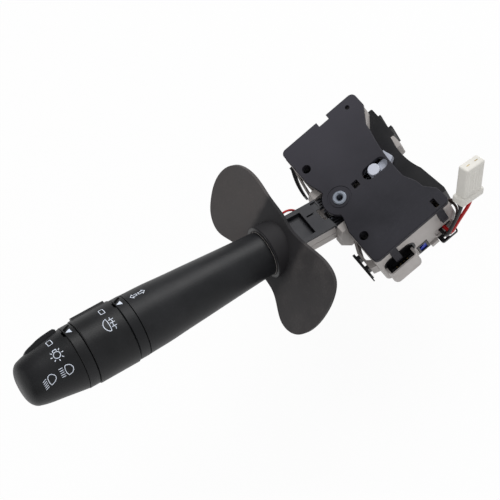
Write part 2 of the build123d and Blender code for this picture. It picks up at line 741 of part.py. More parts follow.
# Cradle: turns on the rivet and carries the lever's cross pin
hub_in_r = rivet_shank_r + run_gap
hub_out_r = hub_in_r + hub_wall
pin_at = on_lever(pin_s)
floor_top = cradle_floor + cradle_floor_t
plunger_r = 1.7
plunger_z = 12.6
plunger_back = pivot_x + 4.6
cheek_back = pivot_x + 3.0
cheek_low = pivot_x - 12.9
cheek_cut = (3.6, 7.4)
pin_skin = 1.0
with BuildPart() as cradle:
    with BuildSketch(Plane.XY.offset(cradle_floor)):
        with Locations((pivot_x, 0)):
            Circle(cheek_outer + 0.3)
        with Locations(((cheek_low + cheek_cut[0] + pivot_x) / 2, 0)):
            Rectangle(pivot_x - cheek_low - cheek_cut[0], 2 * cheek_outer)
    extrude(amount=cradle_floor_t)
    with BuildSketch(Plane.XZ):
        with BuildLine():
            Polyline(
                (cheek_low + cheek_cut[0], cradle_floor),
                (cheek_back, cradle_floor),
                (cheek_back, cradle_top),
                (pivot_x - boss_r - 0.8, cradle_top),
                (pin_at.X - 2.9, pin_at.Z + 1.2),
                (pin_at.X - 3.4, pin_at.Z - 1.6),
                (cheek_low, cradle_floor + cheek_cut[1]),
                close=True,
            )
        make_face()
    extrude(amount=cheek_outer, both=True)
    with BuildSketch(Plane.XZ):
        with Locations((pivot_x - 5, (floor_top + cradle_top) / 2)):
            Rectangle(24, cradle_top - floor_top)
    extrude(amount=cheek_inner, both=True, mode=Mode.SUBTRACT)
    with BuildSketch(Plane.XY.offset(cradle_top - cradle_ear_t)):
        with Locations((pivot_x, 0)):
            Circle(6.0)
            Rectangle(6.0, 2 * cheek_outer)
    extrude(amount=cradle_ear_t)
    with BuildSketch(Plane.XY.offset(cradle_floor)):
        with Locations((pivot_x, 0)):
            Circle(hub_out_r)
    extrude(amount=cradle_top - cradle_floor)
    with BuildSketch(Plane.XY.offset(tail_bottom)):
        with Locations((pivot_x + tail_x / 2 + 1.5, 0)):
            RectangleRounded(tail_x - 3.0, 2 * tail_half_y, 1.5)
        with Locations((pivot_x + 4.5, 0)):
            Rectangle(3.0, 2 * tail_half_y)
    extrude(amount=tail_top - tail_bottom)
    with BuildSketch(Plane.XY.offset(cradle_floor)):
        with Locations((pivot_x, 0)):
            Circle(hub_in_r)
    extrude(amount=cradle_top - cradle_floor, mode=Mode.SUBTRACT)
    with BuildSketch(Plane(origin=(plunger_back, 0, plunger_z), x_dir=(0, 1, 0), z_dir=(1, 0, 0))):
        Circle(plunger_r + run_gap)
    extrude(amount=12, mode=Mode.SUBTRACT)
    with BuildSketch(Plane.XZ.offset(-cheek_outer - 1)):
        with Locations((pin_at.X, pin_at.Z)):
            Circle(pin_r)
    extrude(amount=2 * cheek_outer + 1 - pin_skin, mode=Mode.SUBTRACT)
save(cradle.part, "cradle")

with BuildPart() as cross_pin:
    with BuildSketch(Plane.XZ.offset(-cheek_outer + 0.3)):
        with Locations((pin_at.X, pin_at.Z)):
            Circle(pin_r)
    extrude(amount=2 * cheek_outer - 0.3 - pin_skin)
    chamfer(cross_pin.edges().filter_by(GeomType.CIRCLE), 0.25)
save(cross_pin.part, "cross_pin")

# Sprung plunger in the cradle's tail
plunger_x0 = plunger_back + 3.4
nose_x = pivot_x + 15.35
with BuildPart() as turn_plunger:
    with BuildSketch(Plane(origin=(plunger_x0, 0, plunger_z), x_dir=(0, 1, 0), z_dir=(1, 0, 0))):
        Circle(plunger_r)
    extrude(amount=nose_x - plunger_x0)
    fillet(turn_plunger.edges().group_by(Axis.X)[-1], plunger_r - 0.1)
save(turn_plunger.part, "turn_plunger")

turn_room = plunger_x0 - plunger_back - 2 * spring_wire_r
turn_spring = coil((plunger_back + spring_wire_r, 0, plunger_z), (1, 0, 0), turn_room, 1.2, spring_wire_r, 0.85)
save(turn_spring, "turn_spring")

contact_top = cradle_floor
contact_low = board_top + 0.35
with BuildPart() as moving_contact:
    with BuildSketch(Plane.XY.offset(contact_low)):
        for side in (-1, 1):
            with Locations((pivot_x + 2.0, side * 8.2)):
                RectangleRounded(7.0, 3.4, 1.0)
    extrude(amount=contact_top - contact_low)
save(moving_contact.part, "moving_contacts")

# Lever arm: hollow pale base, dark cap on top, spigot for the stalk tube
cap_low = arm_half_h - cap_t
spigot_r = 8.2
spigot_end = 60.0
pin_slot_y = 3.4
hollow_start = 14.5
hollow_end = 40.0
# Red wire that comes out of the arm's side, runs along it and goes back in, as (s, h, y)
arm_wire_r = 0.5
wire_hole_r = 2 * arm_wire_r
arm_route = [
    (16.5, -0.5, arm_half_y - 4.8),
    (21.0, 2.5, arm_half_y + 1.3),
    (26.3, 6.1, arm_half_y + 1.6),
    (30.6, 4.2, arm_half_y + 1.5),
    (36.0, -4.2, arm_half_y - 5.3),
]
with BuildPart() as arm_base:
    with BuildSketch(side_plane):
        with BuildLine():
            Polyline(
                (arm_start, -3.4),
                (arm_start + 1.9, -arm_half_h),
                (arm_end, -arm_half_h),
                (arm_end, cap_low),
                (cap_start, cap_low),
                (cap_start, 2.5),
                (arm_start, 2.5),
                close=True,
            )
        make_face()
    extrude(amount=arm_half_y, both=True)
    with BuildSketch(side_plane):
        with Locations(((hollow_start + hollow_end) / 2, 0)):
            Rectangle(hollow_end - hollow_start, 2 * (arm_half_h - arm_wall))
        with Locations(((hollow_start + hollow_end) / 2, cap_low)):
            Rectangle(hollow_end - hollow_start, 2 * (arm_half_h - arm_wall))
    extrude(amount=arm_half_y - arm_wall, both=True, mode=Mode.SUBTRACT)
    with BuildSketch(side_plane):
        with Locations((arm_start + 3.0, 0)):
            Rectangle(12.0, 3 * arm_half_h)
    extrude(amount=pin_slot_y, both=True, mode=Mode.SUBTRACT)
    # Shadow line along both sides of the arm
    with BuildSketch(side_plane):
        with Locations(((arm_start + arm_end) / 2, -1.0)):
            Rectangle(arm_end - arm_start + 1, 0.35)
    extrude(amount=arm_half_y + 1, both=True, mode=Mode.SUBTRACT)
    with BuildSketch(side_plane):
        with Locations(((arm_start + arm_end) / 2, -1.0)):
            Rectangle(arm_end - arm_start, 0.5)
    extrude(amount=arm_half_y - 0.35, both=True)
    with BuildSketch(side_plane):
        with Locations(((hollow_start + hollow_end) / 2, 0)):
            Rectangle(hollow_end - hollow_start, 2 * (arm_half_h - arm_wall))
    extrude(amount=arm_half_y - arm_wall, both=True, mode=Mode.SUBTRACT)
    with BuildSketch(side_plane):
        with Locations((arm_start + 3.0, 0)):
            Rectangle(12.0, 3 * arm_half_h)
    extrude(amount=pin_slot_y, both=True, mode=Mode.SUBTRACT)
    with BuildSketch(side_plane):
        with Locations((pin_s, 0)):
            Circle(pin_r + run_gap)
    extrude(amount=arm_half_y + 1, both=True, mode=Mode.SUBTRACT)
    for inside, outside in ((arm_route[0], arm_route[1]), (arm_route[-1], arm_route[-2])):
        hole_start = on_lever(*inside)
        hole_line = on_lever(*outside) - hole_start
        with BuildSketch(Plane(origin=hole_start, z_dir=hole_line)):
            Circle(wire_hole_r)
        extrude(amount=hole_line.length, mode=Mode.SUBTRACT)
    with BuildSketch(lever_plane.offset(arm_end)):
        Circle(flange_r)
    extrude(amount=tube_start - arm_end)
    with BuildSketch(lever_plane.offset(arm_end)):
        Circle(spigot_r)
    extrude(amount=spigot_end - arm_end)
    with BuildSketch(lever_plane.offset(arm_end - 4)):
        Rectangle(2 * (arm_half_h - arm_wall), 10.0)
    extrude(amount=spigot_end - arm_end + 5, mode=Mode.SUBTRACT)
save(arm_base.part, "arm_base")

pocket_s = (21.8, 29.4)
pocket_depth = 2.4
pocket_wall = 0.4
tub_gap = 0.2
pocket_half_y = arm_half_y - arm_wall - tub_gap - pocket_wall
tongue_t = 0.9
riser_top = 4.6
with BuildPart() as arm_cap:
    with BuildSketch(lever_plane.offset(cap_start)):
        with Locations((cap_low + cap_t / 2, 0)):
            Rectangle(cap_t, 2 * arm_half_y)
    extrude(amount=arm_end - cap_start)
    # Tub under the pocket, inside the hollow arm
    with BuildSketch(radial_plane(0, 0, cap_low)):
        with Locations((sum(pocket_s) / 2, 0)):
            Rectangle(pocket_s[1] - pocket_s[0] + 2 * pocket_wall, 2 * (pocket_half_y + pocket_wall))
    extrude(amount=-(pocket_depth + 0.8 - cap_t))
    with BuildSketch(radial_plane(0, 0, arm_half_h)):
        with Locations((sum(pocket_s) / 2, 0)):
            Rectangle(pocket_s[1] - pocket_s[0], 2 * pocket_half_y)
    extrude(amount=-pocket_depth, mode=Mode.SUBTRACT)
    # Recess and two slots at the inner end
    with BuildSketch(radial_plane(0, 0, arm_half_h)):
        with BuildLine():
            Polyline(
                (cap_start - 1, 1.8),
                (cap_start + 1.4, 1.8),
                (cap_start + 4.7, 2.1),
                (cap_start + 4.8, -0.4),
                (cap_start + 3.8, -3.5),
                (cap_start + 2.8, -7.4),
                (cap_start - 1, -7.4),
                close=True,
            )
        make_face()
        with Locations((18.6, -2.3)):
            Rectangle(4.2, 0.9)
    extrude(amount=-0.9, mode=Mode.SUBTRACT)
    # Stepped tongue with ribs, in under the nose of the cover
    with BuildSketch(side_plane):
        with Locations(((arm_start + 0.6 + cap_start) / 2, 2.5 + tongue_t / 2)):
            Rectangle(cap_start - arm_start - 0.6, tongue_t)
        with Locations((cap_start - 0.35, (2.5 + riser_top) / 2)):
            Rectangle(0.7, riser_top - 2.5)
    extrude(amount=arm_half_y, both=True)
    for y in (-7.0, -5.6, -4.2, 4.2, 5.6, 7.0):
        with BuildSketch(radial_plane(0, 0, 2.5 + tongue_t)):
            with Locations(((arm_start + 1.4 + cap_start) / 2, y)):
                Rectangle(cap_start - arm_start - 1.4, 0.6)
        extrude(amount=0.7)
    with BuildSketch(side_plane):
        with Locations((arm_start + 3.0, 0)):
            Rectangle(12.0, 3 * arm_half_h)
    extrude(amount=pin_slot_y, both=True, mode=Mode.SUBTRACT)
save(arm_cap.part, "arm_cap")

# Coil round the cross pin that pushes the lever back after a flash
coil_r = pin_r + 0.55
coil_wire_r = 0.4
coil_pitch = 0.95
coil_len = 3.8
coil_side = coil_len / 2
flash_coil = coil(pin_at - Vector(0, coil_side, 0), (0, 1, 0), coil_len, coil_r, coil_wire_r, coil_pitch)
with BuildPart() as flash_spring:
    add(flash_coil)
    for side, reach in ((-1, pin_at.Z - floor_top), (1, 3.0)):
        with BuildSketch(Plane(origin=pin_at + Vector(coil_r, side * coil_side, 0), z_dir=(0, 0, -1))):
            Circle(coil_wire_r)
        extrude(amount=reach)
save(flash_spring.part, "flash_spring")

# Stalk tube: slender at the neck, widening towards the rings
tube_profile = [
    (tube_start, neck_r),
    (63.0, 11.2),
    (77.0, 12.1),
    (85.0, 12.6),
    (93.0, 13.1),
    (100.0, 13.6),
    (108.5, 13.9),
    (seam_1, ring_r - 0.1),
]
tube_inside = [(spigot_end + 0.6, spigot_r), (63.0, 11.2 - tube_wall), (93.0, 13.1 - tube_wall)]
bulkhead_t = 2.0
with BuildPart() as stalk_tube:
    with BuildSketch(side_plane):
        with BuildLine():
            Spline(*tube_profile)
            Polyline(tube_profile[-1], (seam_1, core_r), (seam_1 - bulkhead_t, core_r))
            Polyline((seam_1 - bulkhead_t, core_r), (seam_1 - bulkhead_t, ring_r - tube_wall))
            Polyline((seam_1 - bulkhead_t, ring_r - tube_wall), *tube_inside[::-1])
            Polyline(tube_inside[0], (tube_start, spigot_r), tube_profile[0])
        make_face()
        with BuildLine():
            Polyline(
                (core_start, core_r),
                (core_start, 11.0),
                (core_start + bulkhead_t, 11.0),
                (core_start + bulkhead_t, core_r),
                close=True,
            )
        make_face()
    revolve(axis=lever_axis)
save(stalk_tube.part, "stalk_tube")

with BuildPart() as core_tube:
    with BuildSketch(lever_plane.offset(core_start)):
        Circle(core_r)
        Circle(shaft_r + shaft_gap, mode=Mode.SUBTRACT)
    extrude(amount=core_end - core_start)
save(core_tube.part, "core_tube")

with BuildPart() as light_shaft:
    with BuildSketch(lever_plane.offset(shaft_start)):
        Circle(shaft_r)
    extrude(amount=cap_end - 8.0 - shaft_start)
    with BuildSketch(lever_plane.offset(shaft_start)):
        Circle(7.6)
    extrude(amount=core_start - 1.5 - shaft_start)
    for s in (66.0, 69.5, 73.0):
        with BuildSketch(lever_plane.offset(s)):
            Circle(8.0)
            Circle(7.2, mode=Mode.SUBTRACT)
        extrude(amount=-1.2, mode=Mode.SUBTRACT)
save(light_shaft.part, "light_shaft")


def marker_ring(name, start):
    # Fixed ring with the printed triangle, carried by the core tube.
    with BuildPart() as ring:
        with BuildSketch(lever_plane.offset(start)):
            Circle(ring_r)
        extrude(amount=ring_w - seam_w)
        chamfer(ring.edges(), 0.25)
        with BuildSketch(lever_plane.offset(start)):
            Circle(core_r)
        extrude(amount=ring_w, mode=Mode.SUBTRACT)
        with BuildSketch(lever_plane.offset(start)):
            Circle(ring_r - tube_wall)
            Circle(core_r + 1.8, mode=Mode.SUBTRACT)
        extrude(amount=1.2, mode=Mode.SUBTRACT)
    save(ring.part, name)


marker_ring("marker_ring_inner", seam_1 + seam_w)
marker_ring("marker_ring_outer", fog_end + seam_w)


def notch_cutter(start):
    # Pointer notch in the housing-side edge of a turning piece.
    with BuildPart() as cutter:
        with BuildSketch(radial_plane(start, marker_angle, ring_r - 3.0)):
            with BuildLine():
                Polyline((-0.5, notch_w / 2), (notch_d, 0), (-0.5, -notch_w / 2), close=True)
            make_face()
        extrude(amount=5.0)
    return cutter.part


# Fog light ring with its thumb ridge
fog_start = seam_1 + ring_w + seam_w
web_s = fog_start + 6.0
web_t = 2.0
fog_notch = notch_cutter(fog_start)
with BuildPart() as fog_ring:
    with BuildSketch(lever_plane.offset(fog_start)):
        Circle(fog_r)
    extrude(amount=fog_end - fog_start)
    chamfer(fog_ring.edges().filter_by(GeomType.CIRCLE), 0.4)
    with BuildSketch(lever_plane.offset(fog_start + 1.8)):
        with Locations(Location((0, 0, 0), (0, 0, ridge_angle)) * Location((fog_r - 0.9, 0, 0))):
            RectangleRounded(3.6, 4.4, 1.6)
    extrude(amount=fog_end - fog_start - 3.4)
    for start, length in ((fog_start, web_s - fog_start), (web_s + web_t, fog_end - web_s)):
        with BuildSketch(lever_plane.offset(start)):
            Circle(fog_r - tube_wall)
            Circle(core_r + 2.0, mode=Mode.SUBTRACT)
        extrude(amount=length, mode=Mode.SUBTRACT)
    with BuildSketch(lever_plane.offset(fog_start)):
        Circle(core_r + shaft_gap)
    extrude(amount=fog_end - fog_start, mode=Mode.SUBTRACT)
    add(fog_notch, mode=Mode.SUBTRACT)
save(fog_ring.part, "fog_ring")

# Light switch knob at the end of the lever, with its grip ridge
knob_start = fog_end + ring_w + seam_w
knob_r = 13.9
knob_waist = [(knob_start + 4.1, 13.3), (knob_start + 11.1, 12.2), (cap_end - 8.0, 11.3), (cap_end - 4.5, 10.4)]
knob_profile = [(knob_start, knob_r), *knob_waist]
knob_dome = [knob_waist[-1], (cap_end - 1.8, 8.7), (cap_end - 0.4, 5.8), (cap_end, 2.6), (cap_end + 0.1, 0)]
ridge_start = knob_start + 1.1
ridge_stop = cap_end - 7.6
ridge_low = 9.6
knob_ridge = [
    (knob_start + 2.1, 15.1),
    (knob_start + 5.1, 14.9),
    (knob_start + 10.1, 14.1),
    (knob_start + 12.1, 13.5),
    (cap_end - 10.0, 12.6),
    (cap_end - 8.0, 11.4),
]
socket_depth = cap_end - 8.0 - core_end - 0.4
boss_start = core_end + 0.4
ridge_out = lever_up * cos(radians(ridge_angle)) + Vector(0, 1, 0) * sin(radians(ridge_angle))
ridge_plane = Plane(origin=lever_base, x_dir=lever_tip, z_dir=lever_tip.cross(ridge_out))
with BuildPart() as knob_grip:
    with BuildSketch(ridge_plane):
        with BuildLine():
            Spline(*knob_ridge)
            Polyline(knob_ridge[-1], (ridge_stop, ridge_low), (ridge_start, ridge_low))
            Polyline((ridge_start, ridge_low), (ridge_start, knob_r + 0.5), knob_ridge[0])
        make_face()
    extrude(amount=1.9, both=True)
knob_notch = notch_cutter(knob_start)
with BuildPart() as light_knob:
    with BuildSketch(side_plane):
        with BuildLine():
            Spline(*knob_profile)
            Spline(*knob_dome)
            Polyline((cap_end + 0.1, 0), (knob_start, 0), knob_profile[0])
        make_face()
    revolve(axis=lever_axis)
    add(knob_grip.part)
    with BuildSketch(side_plane):
        with BuildLine():
            Polyline(
                (knob_start - 0.1, 0),
                (knob_start - 0.1, knob_r - tube_wall),
                (knob_waist[0][0], knob_waist[0][1] - tube_wall),
                (knob_waist[2][0], knob_waist[2][1] - tube_wall),
                (knob_waist[3][0], knob_waist[3][1] - tube_wall - 0.9),
                (knob_waist[3][0], core_r + 0.2),
                (boss_start, core_r + 0.2),
                (boss_start, 0),
                close=True,
            )
        make_face()
    revolve(axis=lever_axis, mode=Mode.SUBTRACT)
    with BuildSketch(lever_plane.offset(boss_start)):
        Circle(shaft_r)
    extrude(amount=socket_depth, mode=Mode.SUBTRACT)
    add(knob_notch, mode=Mode.SUBTRACT)
save(light_knob.part, "light_knob")

# Rubber shield that closes the slot of the column shroud, with its collar
shield_mid = on_lever(shield_s)
shield_out = Vector(-cos(radians(shield_tilt)), 0, sin(radians(shield_tilt)))
shield_chord = Vector(sin(radians(shield_tilt)), 0, cos(radians(shield_tilt)))
shield_face = Plane(origin=shield_mid, x_dir=(0, 1, 0), z_dir=-shield_out)
shield_edge = Plane(origin=shield_mid, x_dir=(0, 1, 0), z_dir=shield_chord)
half_span = 46.0
span_sag = half_span**2 / (2 * shield_bend_r)
shield_outline = [
    (0.0, 16.8),
    (-15.4, 17.5),
    (-24.6, 20.1),
    (-31.9, 21.1),
    (-38.3, 19.2),
    (-41.6, 13.0),
    (-42.4, 3.5),
    (-41.2, -5.5),
    (-38.8, -12.6),
    (-34.8, -18.8),
    (-29.4, -22.6),
    (-23.3, -23.2),
    (-17.7, -20.0),
    (-12.2, -16.4),
    (-5.0, -15.2),
    (6.0, -15.2),
    (20.4, -16.0),
    (29.5, -18.0),
    (35.6, -14.6),
    (39.5, -7.1),
    (41.2, 1.3),
    (40.2, 10.5),
    (35.8, 17.6),
    (30.2, 20.4),
    (22.0, 20.6),
    (13.0, 18.6),
]
collar_end = 44.8
with BuildPart() as shield_plate:
    with BuildSketch(shield_edge):
        with BuildLine():
            ThreePointArc((-half_span, span_sag), (0, 0), (half_span, span_sag))
            Line((half_span, span_sag), (half_span, span_sag + shield_t))
            ThreePointArc((half_span, span_sag + shield_t), (0, shield_t), (-half_span, span_sag + shield_t))
            Line((-half_span, span_sag + shield_t), (-half_span, span_sag))
        make_face()
    extrude(amount=30.0, both=True)
    with BuildSketch(shield_face):
        with BuildLine():
            Spline(*shield_outline, periodic=True)
        make_face()
    extrude(amount=20.0, both=True, mode=Mode.INTERSECT)

with BuildPart() as shield:
    with BuildSketch(lever_plane.offset(shield_s - 8.0)):
        Circle(collar_out_r)
    extrude(amount=collar_end - shield_s + 8.0)
    fillet(shield.edges().sort_by(lever_axis)[-1], 0.8)
    with BuildSketch(shield_face.offset(-shield_t / 2)):
        Rectangle(40.0, 40.0)
    extrude(amount=30.0, mode=Mode.SUBTRACT)
    add(shield_plate.part)
    with BuildSketch(lever_plane.offset(shield_s - 20.0)):
        Circle(collar_in_r)
    extrude(amount=60.0, mode=Mode.SUBTRACT)
save(shield.part, "shield")


def wire(points, radius):
    # Round wire: straight runs joined by tangent arcs sized from the shorter run at each bend.
    route = [Vector(*point) for point in points]
    arc_radii = []
    for before, here, after in zip(route, route[1:], route[2:]):
        turn = radians((here - before).get_angle(after - here))
        arc_radii.append(0.45 * min((here - before).length, (after - here).length) / tan(turn / 2))
    with BuildPart() as strand:
        with BuildLine() as path:
            FilletPolyline(*route, radius=arc_radii)
        with BuildSketch(Plane(origin=route[0], z_dir=route[1] - route[0])):
            Circle(radius)
        sweep(path=path.line)
    length = sum(edge.length for edge in path.edges())
    expected = length * pi * radius**2
    print(f"wire length {length:.1f}, radii {min(arc_radii):.1f}-{max(arc_radii):.1f},"
          f" volume {strand.part.volume:.1f} of {expected:.1f}")
    return strand.part


# Where the two-way connector stands, and which way it points
plug_end = Vector(43.7, -40.0, 27.4)
plug_axis = Vector(0.573, 0.14, 0.808).normalized()
plug_long = Vector(0.813, 0.028, -0.581)
plug_long = (plug_long - plug_axis * plug_long.dot(plug_axis)).normalized()
cavity_pitch = 5.08

# Wire gland in the end wall and the two wires of the pigtail
wire_r = wire_d / 2
gland_face_y = -33.4
with BuildPart() as wire_gland:
    with BuildSketch(Plane(origin=(0, gland_face_y, 0), x_dir=(1, 0, 0), z_dir=(0, -1, 0))):
        with Locations((sum(wire_slot_x) / 2, sum(wire_slot_z) / 2)):
            RectangleRounded(
                wire_slot_x[1] - wire_slot_x[0] - 2 * fit_gap, wire_slot_z[1] - wire_slot_z[0] - 2 * fit_gap, 0.7
            )
    extrude(amount=-2.4)
save(wire_gland.part, "wire_gland")

pigtail_mid = [
    (28.7, gland_face_y, 5.3),
    (28.7, -37.6, 5.3),
    (29.6, -39.6, 8.9),
    (32.6, -39.9, 13.2),
    (36.9, -40.1, 18.0),
    tuple(plug_end - plug_axis * 4.4),
    tuple(plug_end),
]
pigtail_side = [
    (1.1, 0.0, 0.0),
    (1.1, 0.0, 0.0),
    (1.05, 0.0, -0.35),
    (0.95, 0.0, -0.65),
    (1.2, 0.0, -0.95),
    tuple(plug_long * (cavity_pitch / 2)),
    tuple(plug_long * (cavity_pitch / 2)),
]
for name, side in (("pigtail_wire_black", -1), ("pigtail_wire_red", 1)):
    route = [tuple(m + side * o for m, o in zip(mid, off)) for mid, off in zip(pigtail_mid, pigtail_side)]
    save(wire(route, wire_r), name)

# Two-way connector on the pigtail
plug_plane = Plane(origin=plug_end, x_dir=plug_long, z_dir=plug_axis)
plug_w = 12.6
plug_d = 6.0
plug_len = 20.0
plug_flange = 4.0
plug_rim = 1.3
cavity = 3.7
face_t = 1.6
with BuildPart() as pigtail_connector:
    with BuildSketch(plug_plane):
        RectangleRounded(plug_w, plug_d, 1.1)
    extrude(amount=plug_len)
    with BuildSketch(plug_plane):
        RectangleRounded(plug_w + 2 * plug_rim, plug_d + plug_rim, 1.6)
    extrude(amount=plug_flange)
    chamfer(pigtail_connector.faces().sort_by(Axis(plug_end, plug_axis))[-1].edges(), 0.35)
    with BuildSketch(plug_plane.offset(plug_flange)):
        with Locations((0, plug_d / 2 + 0.5)):
            Rectangle(3.0, 1.6)
    extrude(amount=7.0)
    with BuildSketch(plug_plane.offset(2.0)):
        with GridLocations(cavity_pitch, 1, 2, 1):
            RectangleRounded(cavity, cavity, 0.4)
    extrude(amount=plug_len - 2.0 - face_t, mode=Mode.SUBTRACT)
    with BuildSketch(plug_plane.offset(plug_len)):
        with GridLocations(cavity_pitch, 1, 2, 1):
            Rectangle(3.0, 1.0)
    extrude(amount=-face_t - 0.5, mode=Mode.SUBTRACT)
save(pigtail_connector.part, "pigtail_connector")

with BuildPart() as pigtail_terminals:
    with BuildSketch(plug_plane.offset(2.0)):
        with GridLocations(cavity_pitch, 1, 2, 1):
            Rectangle(cavity - 0.2, 2.2)
            Rectangle(cavity - 0.8, 1.6, mode=Mode.SUBTRACT)
    extrude(amount=plug_len - 6.0)
    with BuildSketch(plug_plane.offset(8.0)):
        with GridLocations(cavity_pitch, 1, 2, 1):
            Rectangle(cavity - 0.8, 1.6)
    extrude(amount=2.0)
    with BuildSketch(plug_plane.offset(10.0)):
        with GridLocations(cavity_pitch, 1, 2, 1):
            Rectangle(2.4, 0.5)
    extrude(amount=plug_len - 10.3)
save(pigtail_terminals.part, "pigtail_terminals")

# Inner harness: two thin wires from the corner notch down to the guide's eye
harness_r = 0.6
harness_mid = [
    (34.4, -30.8, 19.1),
    (37.9, -31.4, 19.1),
    (38.8, -34.9, 18.0),
    (37.7, -36.6, 14.6),
    (34.6, -36.9, 9.0),
    (31.6, -36.8, 4.6),
    (30.2, eye_mid[1], 0.8),
]
harness_side = [
    (0.0, 0.0, 1.7),
    (0.0, 0.0, 1.7),
    (1.5, 0.0, 1.1),
    (1.6, 0.0, 0.1),
    (1.6, 0.0, -0.3),
    (1.5, 0.0, -0.3),
    (1.4, 0.0, -0.1),
]
with BuildPart() as harness_wires:
    for side in (0, 1):
        route = [tuple(m + side * o for m, o in zip(mid, off)) for mid, off in zip(harness_mid, harness_side)]
        add(wire(route, harness_r))
save(harness_wires.part, "harness_wires")

save(wire([tuple(on_lever(*point)) for point in arm_route], arm_wire_r), "arm_wire")
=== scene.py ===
import bpy
import bmesh
import json
import math
from mathutils import Matrix, Vector


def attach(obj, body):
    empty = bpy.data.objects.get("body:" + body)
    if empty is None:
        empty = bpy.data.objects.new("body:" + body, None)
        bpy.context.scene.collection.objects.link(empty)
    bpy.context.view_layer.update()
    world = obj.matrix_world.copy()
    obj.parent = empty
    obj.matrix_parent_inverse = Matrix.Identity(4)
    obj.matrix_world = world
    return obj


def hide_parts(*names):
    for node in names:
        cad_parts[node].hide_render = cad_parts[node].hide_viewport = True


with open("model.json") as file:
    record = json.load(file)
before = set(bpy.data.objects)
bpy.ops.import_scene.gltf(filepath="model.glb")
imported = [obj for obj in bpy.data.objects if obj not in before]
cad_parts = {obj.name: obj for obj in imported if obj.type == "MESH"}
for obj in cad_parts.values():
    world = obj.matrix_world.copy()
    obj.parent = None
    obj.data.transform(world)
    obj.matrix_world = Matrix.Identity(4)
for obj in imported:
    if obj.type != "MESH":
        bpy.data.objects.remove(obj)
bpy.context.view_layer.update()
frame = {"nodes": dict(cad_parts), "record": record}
nodes = frame["nodes"]
print("frame loaded:", len(nodes), "nodes")

# Lever line, as in the part: it leaves the pivot and rises towards -X
lever = {"rise": 24.6, "pivotX": 2.8, "pivotZ": 14.4}
mm = 0.001
rise = math.radians(lever["rise"])
leverTip = Vector((-math.cos(rise), 0, math.sin(rise)))
leverUp = Vector((math.sin(rise), 0, math.cos(rise)))
leverSide = Vector((0, 1, 0))
leverBase = Vector((lever["pivotX"], 0, lever["pivotZ"])) * mm


def outOf(angle):
    a = math.radians(angle)
    return leverUp * math.cos(a) + leverSide * math.sin(a)


def onLever(s, angle, r):
    # s along the lever in mm, angle from its top towards +Y, r from its line
    return leverBase + (leverTip * s + outOf(angle) * r) * mm


cameraPlan = {
    "at": (-0.01109, -0.27123, 0.58102),
    "right": (0.7603, -0.5616, -0.3264),
    "up": (0.6476, 0.6943, 0.3141),
    "back": (0.0502, -0.4501, 0.8915),
    "lens": 100.8,
}


def makeCamera():
    data = bpy.data.cameras.new("camera")
    data.type = "PERSP"
    data.sensor_width = 36
    data.lens = cameraPlan["lens"]
    data.clip_start = 0.01
    camera = bpy.data.objects.new("camera", data)
    bpy.context.scene.collection.objects.link(camera)
    turn = Matrix((cameraPlan["right"], cameraPlan["up"], cameraPlan["back"])).transposed().to_4x4()
    camera.matrix_world = Matrix.Translation(cameraPlan["at"]) @ turn
    bpy.context.scene.camera = camera


makeCamera()
print("camera placed")


# Shared effects, built once
def newGroup(name, inputs, outputs):
    group = bpy.data.node_groups.new(name, "ShaderNodeTree")
    for label, kind, value in inputs:
        socket = group.interface.new_socket(label, in_out="INPUT", socket_type=kind)
        socket.default_value = value
    for label, kind in outputs:
        group.interface.new_socket(label, in_out="OUTPUT", socket_type=kind)
    entry = group.nodes.new("NodeGroupInput")
    leave = group.nodes.new("NodeGroupOutput")
    return group, entry, leave


def noiseNode(tree, scale, detail, place, rough=0.5):
    noise = tree.nodes.new("ShaderNodeTexNoise")
    noise.inputs["Scale"].default_value = scale
    noise.inputs["Detail"].default_value = detail
    noise.inputs["Roughness"].default_value = rough
    tree.links.new(place, noise.inputs["Vector"])
    return noise


def rangeNode(tree, value, low, high, toLow=0.0, toHigh=1.0):
    spread = tree.nodes.new("ShaderNodeMapRange")
    spread.interpolation_type = "SMOOTHSTEP"
    spread.inputs["From Min"].default_value = low
    spread.inputs["From Max"].default_value = high
    spread.inputs["To Min"].default_value = toLow
    spread.inputs["To Max"].default_value = toHigh
    tree.links.new(value, spread.inputs["Value"])
    return spread.outputs["Result"]


def mathNode(tree, operation, first, second, third=None):
    node = tree.nodes.new("ShaderNodeMath")
    node.operation = operation
    for slot, value in enumerate((first, second, third)):
        if isinstance(value, (int, float)):
            node.inputs[slot].default_value = value
        elif value is not None:
            tree.links.new(value, node.inputs[slot])
    return node.outputs[0]


def mixColour(tree, share, first, second):
    mix = tree.nodes.new("ShaderNodeMix")
    mix.data_type = "RGBA"
    tree.links.new(share, mix.inputs[0])
    for slot, value in ((6, first), (7, second)):
        if isinstance(value, tuple):
            mix.inputs[slot].default_value = (*value, 1)
        else:
            tree.links.new(value, mix.inputs[slot])
    return mix.outputs[2]


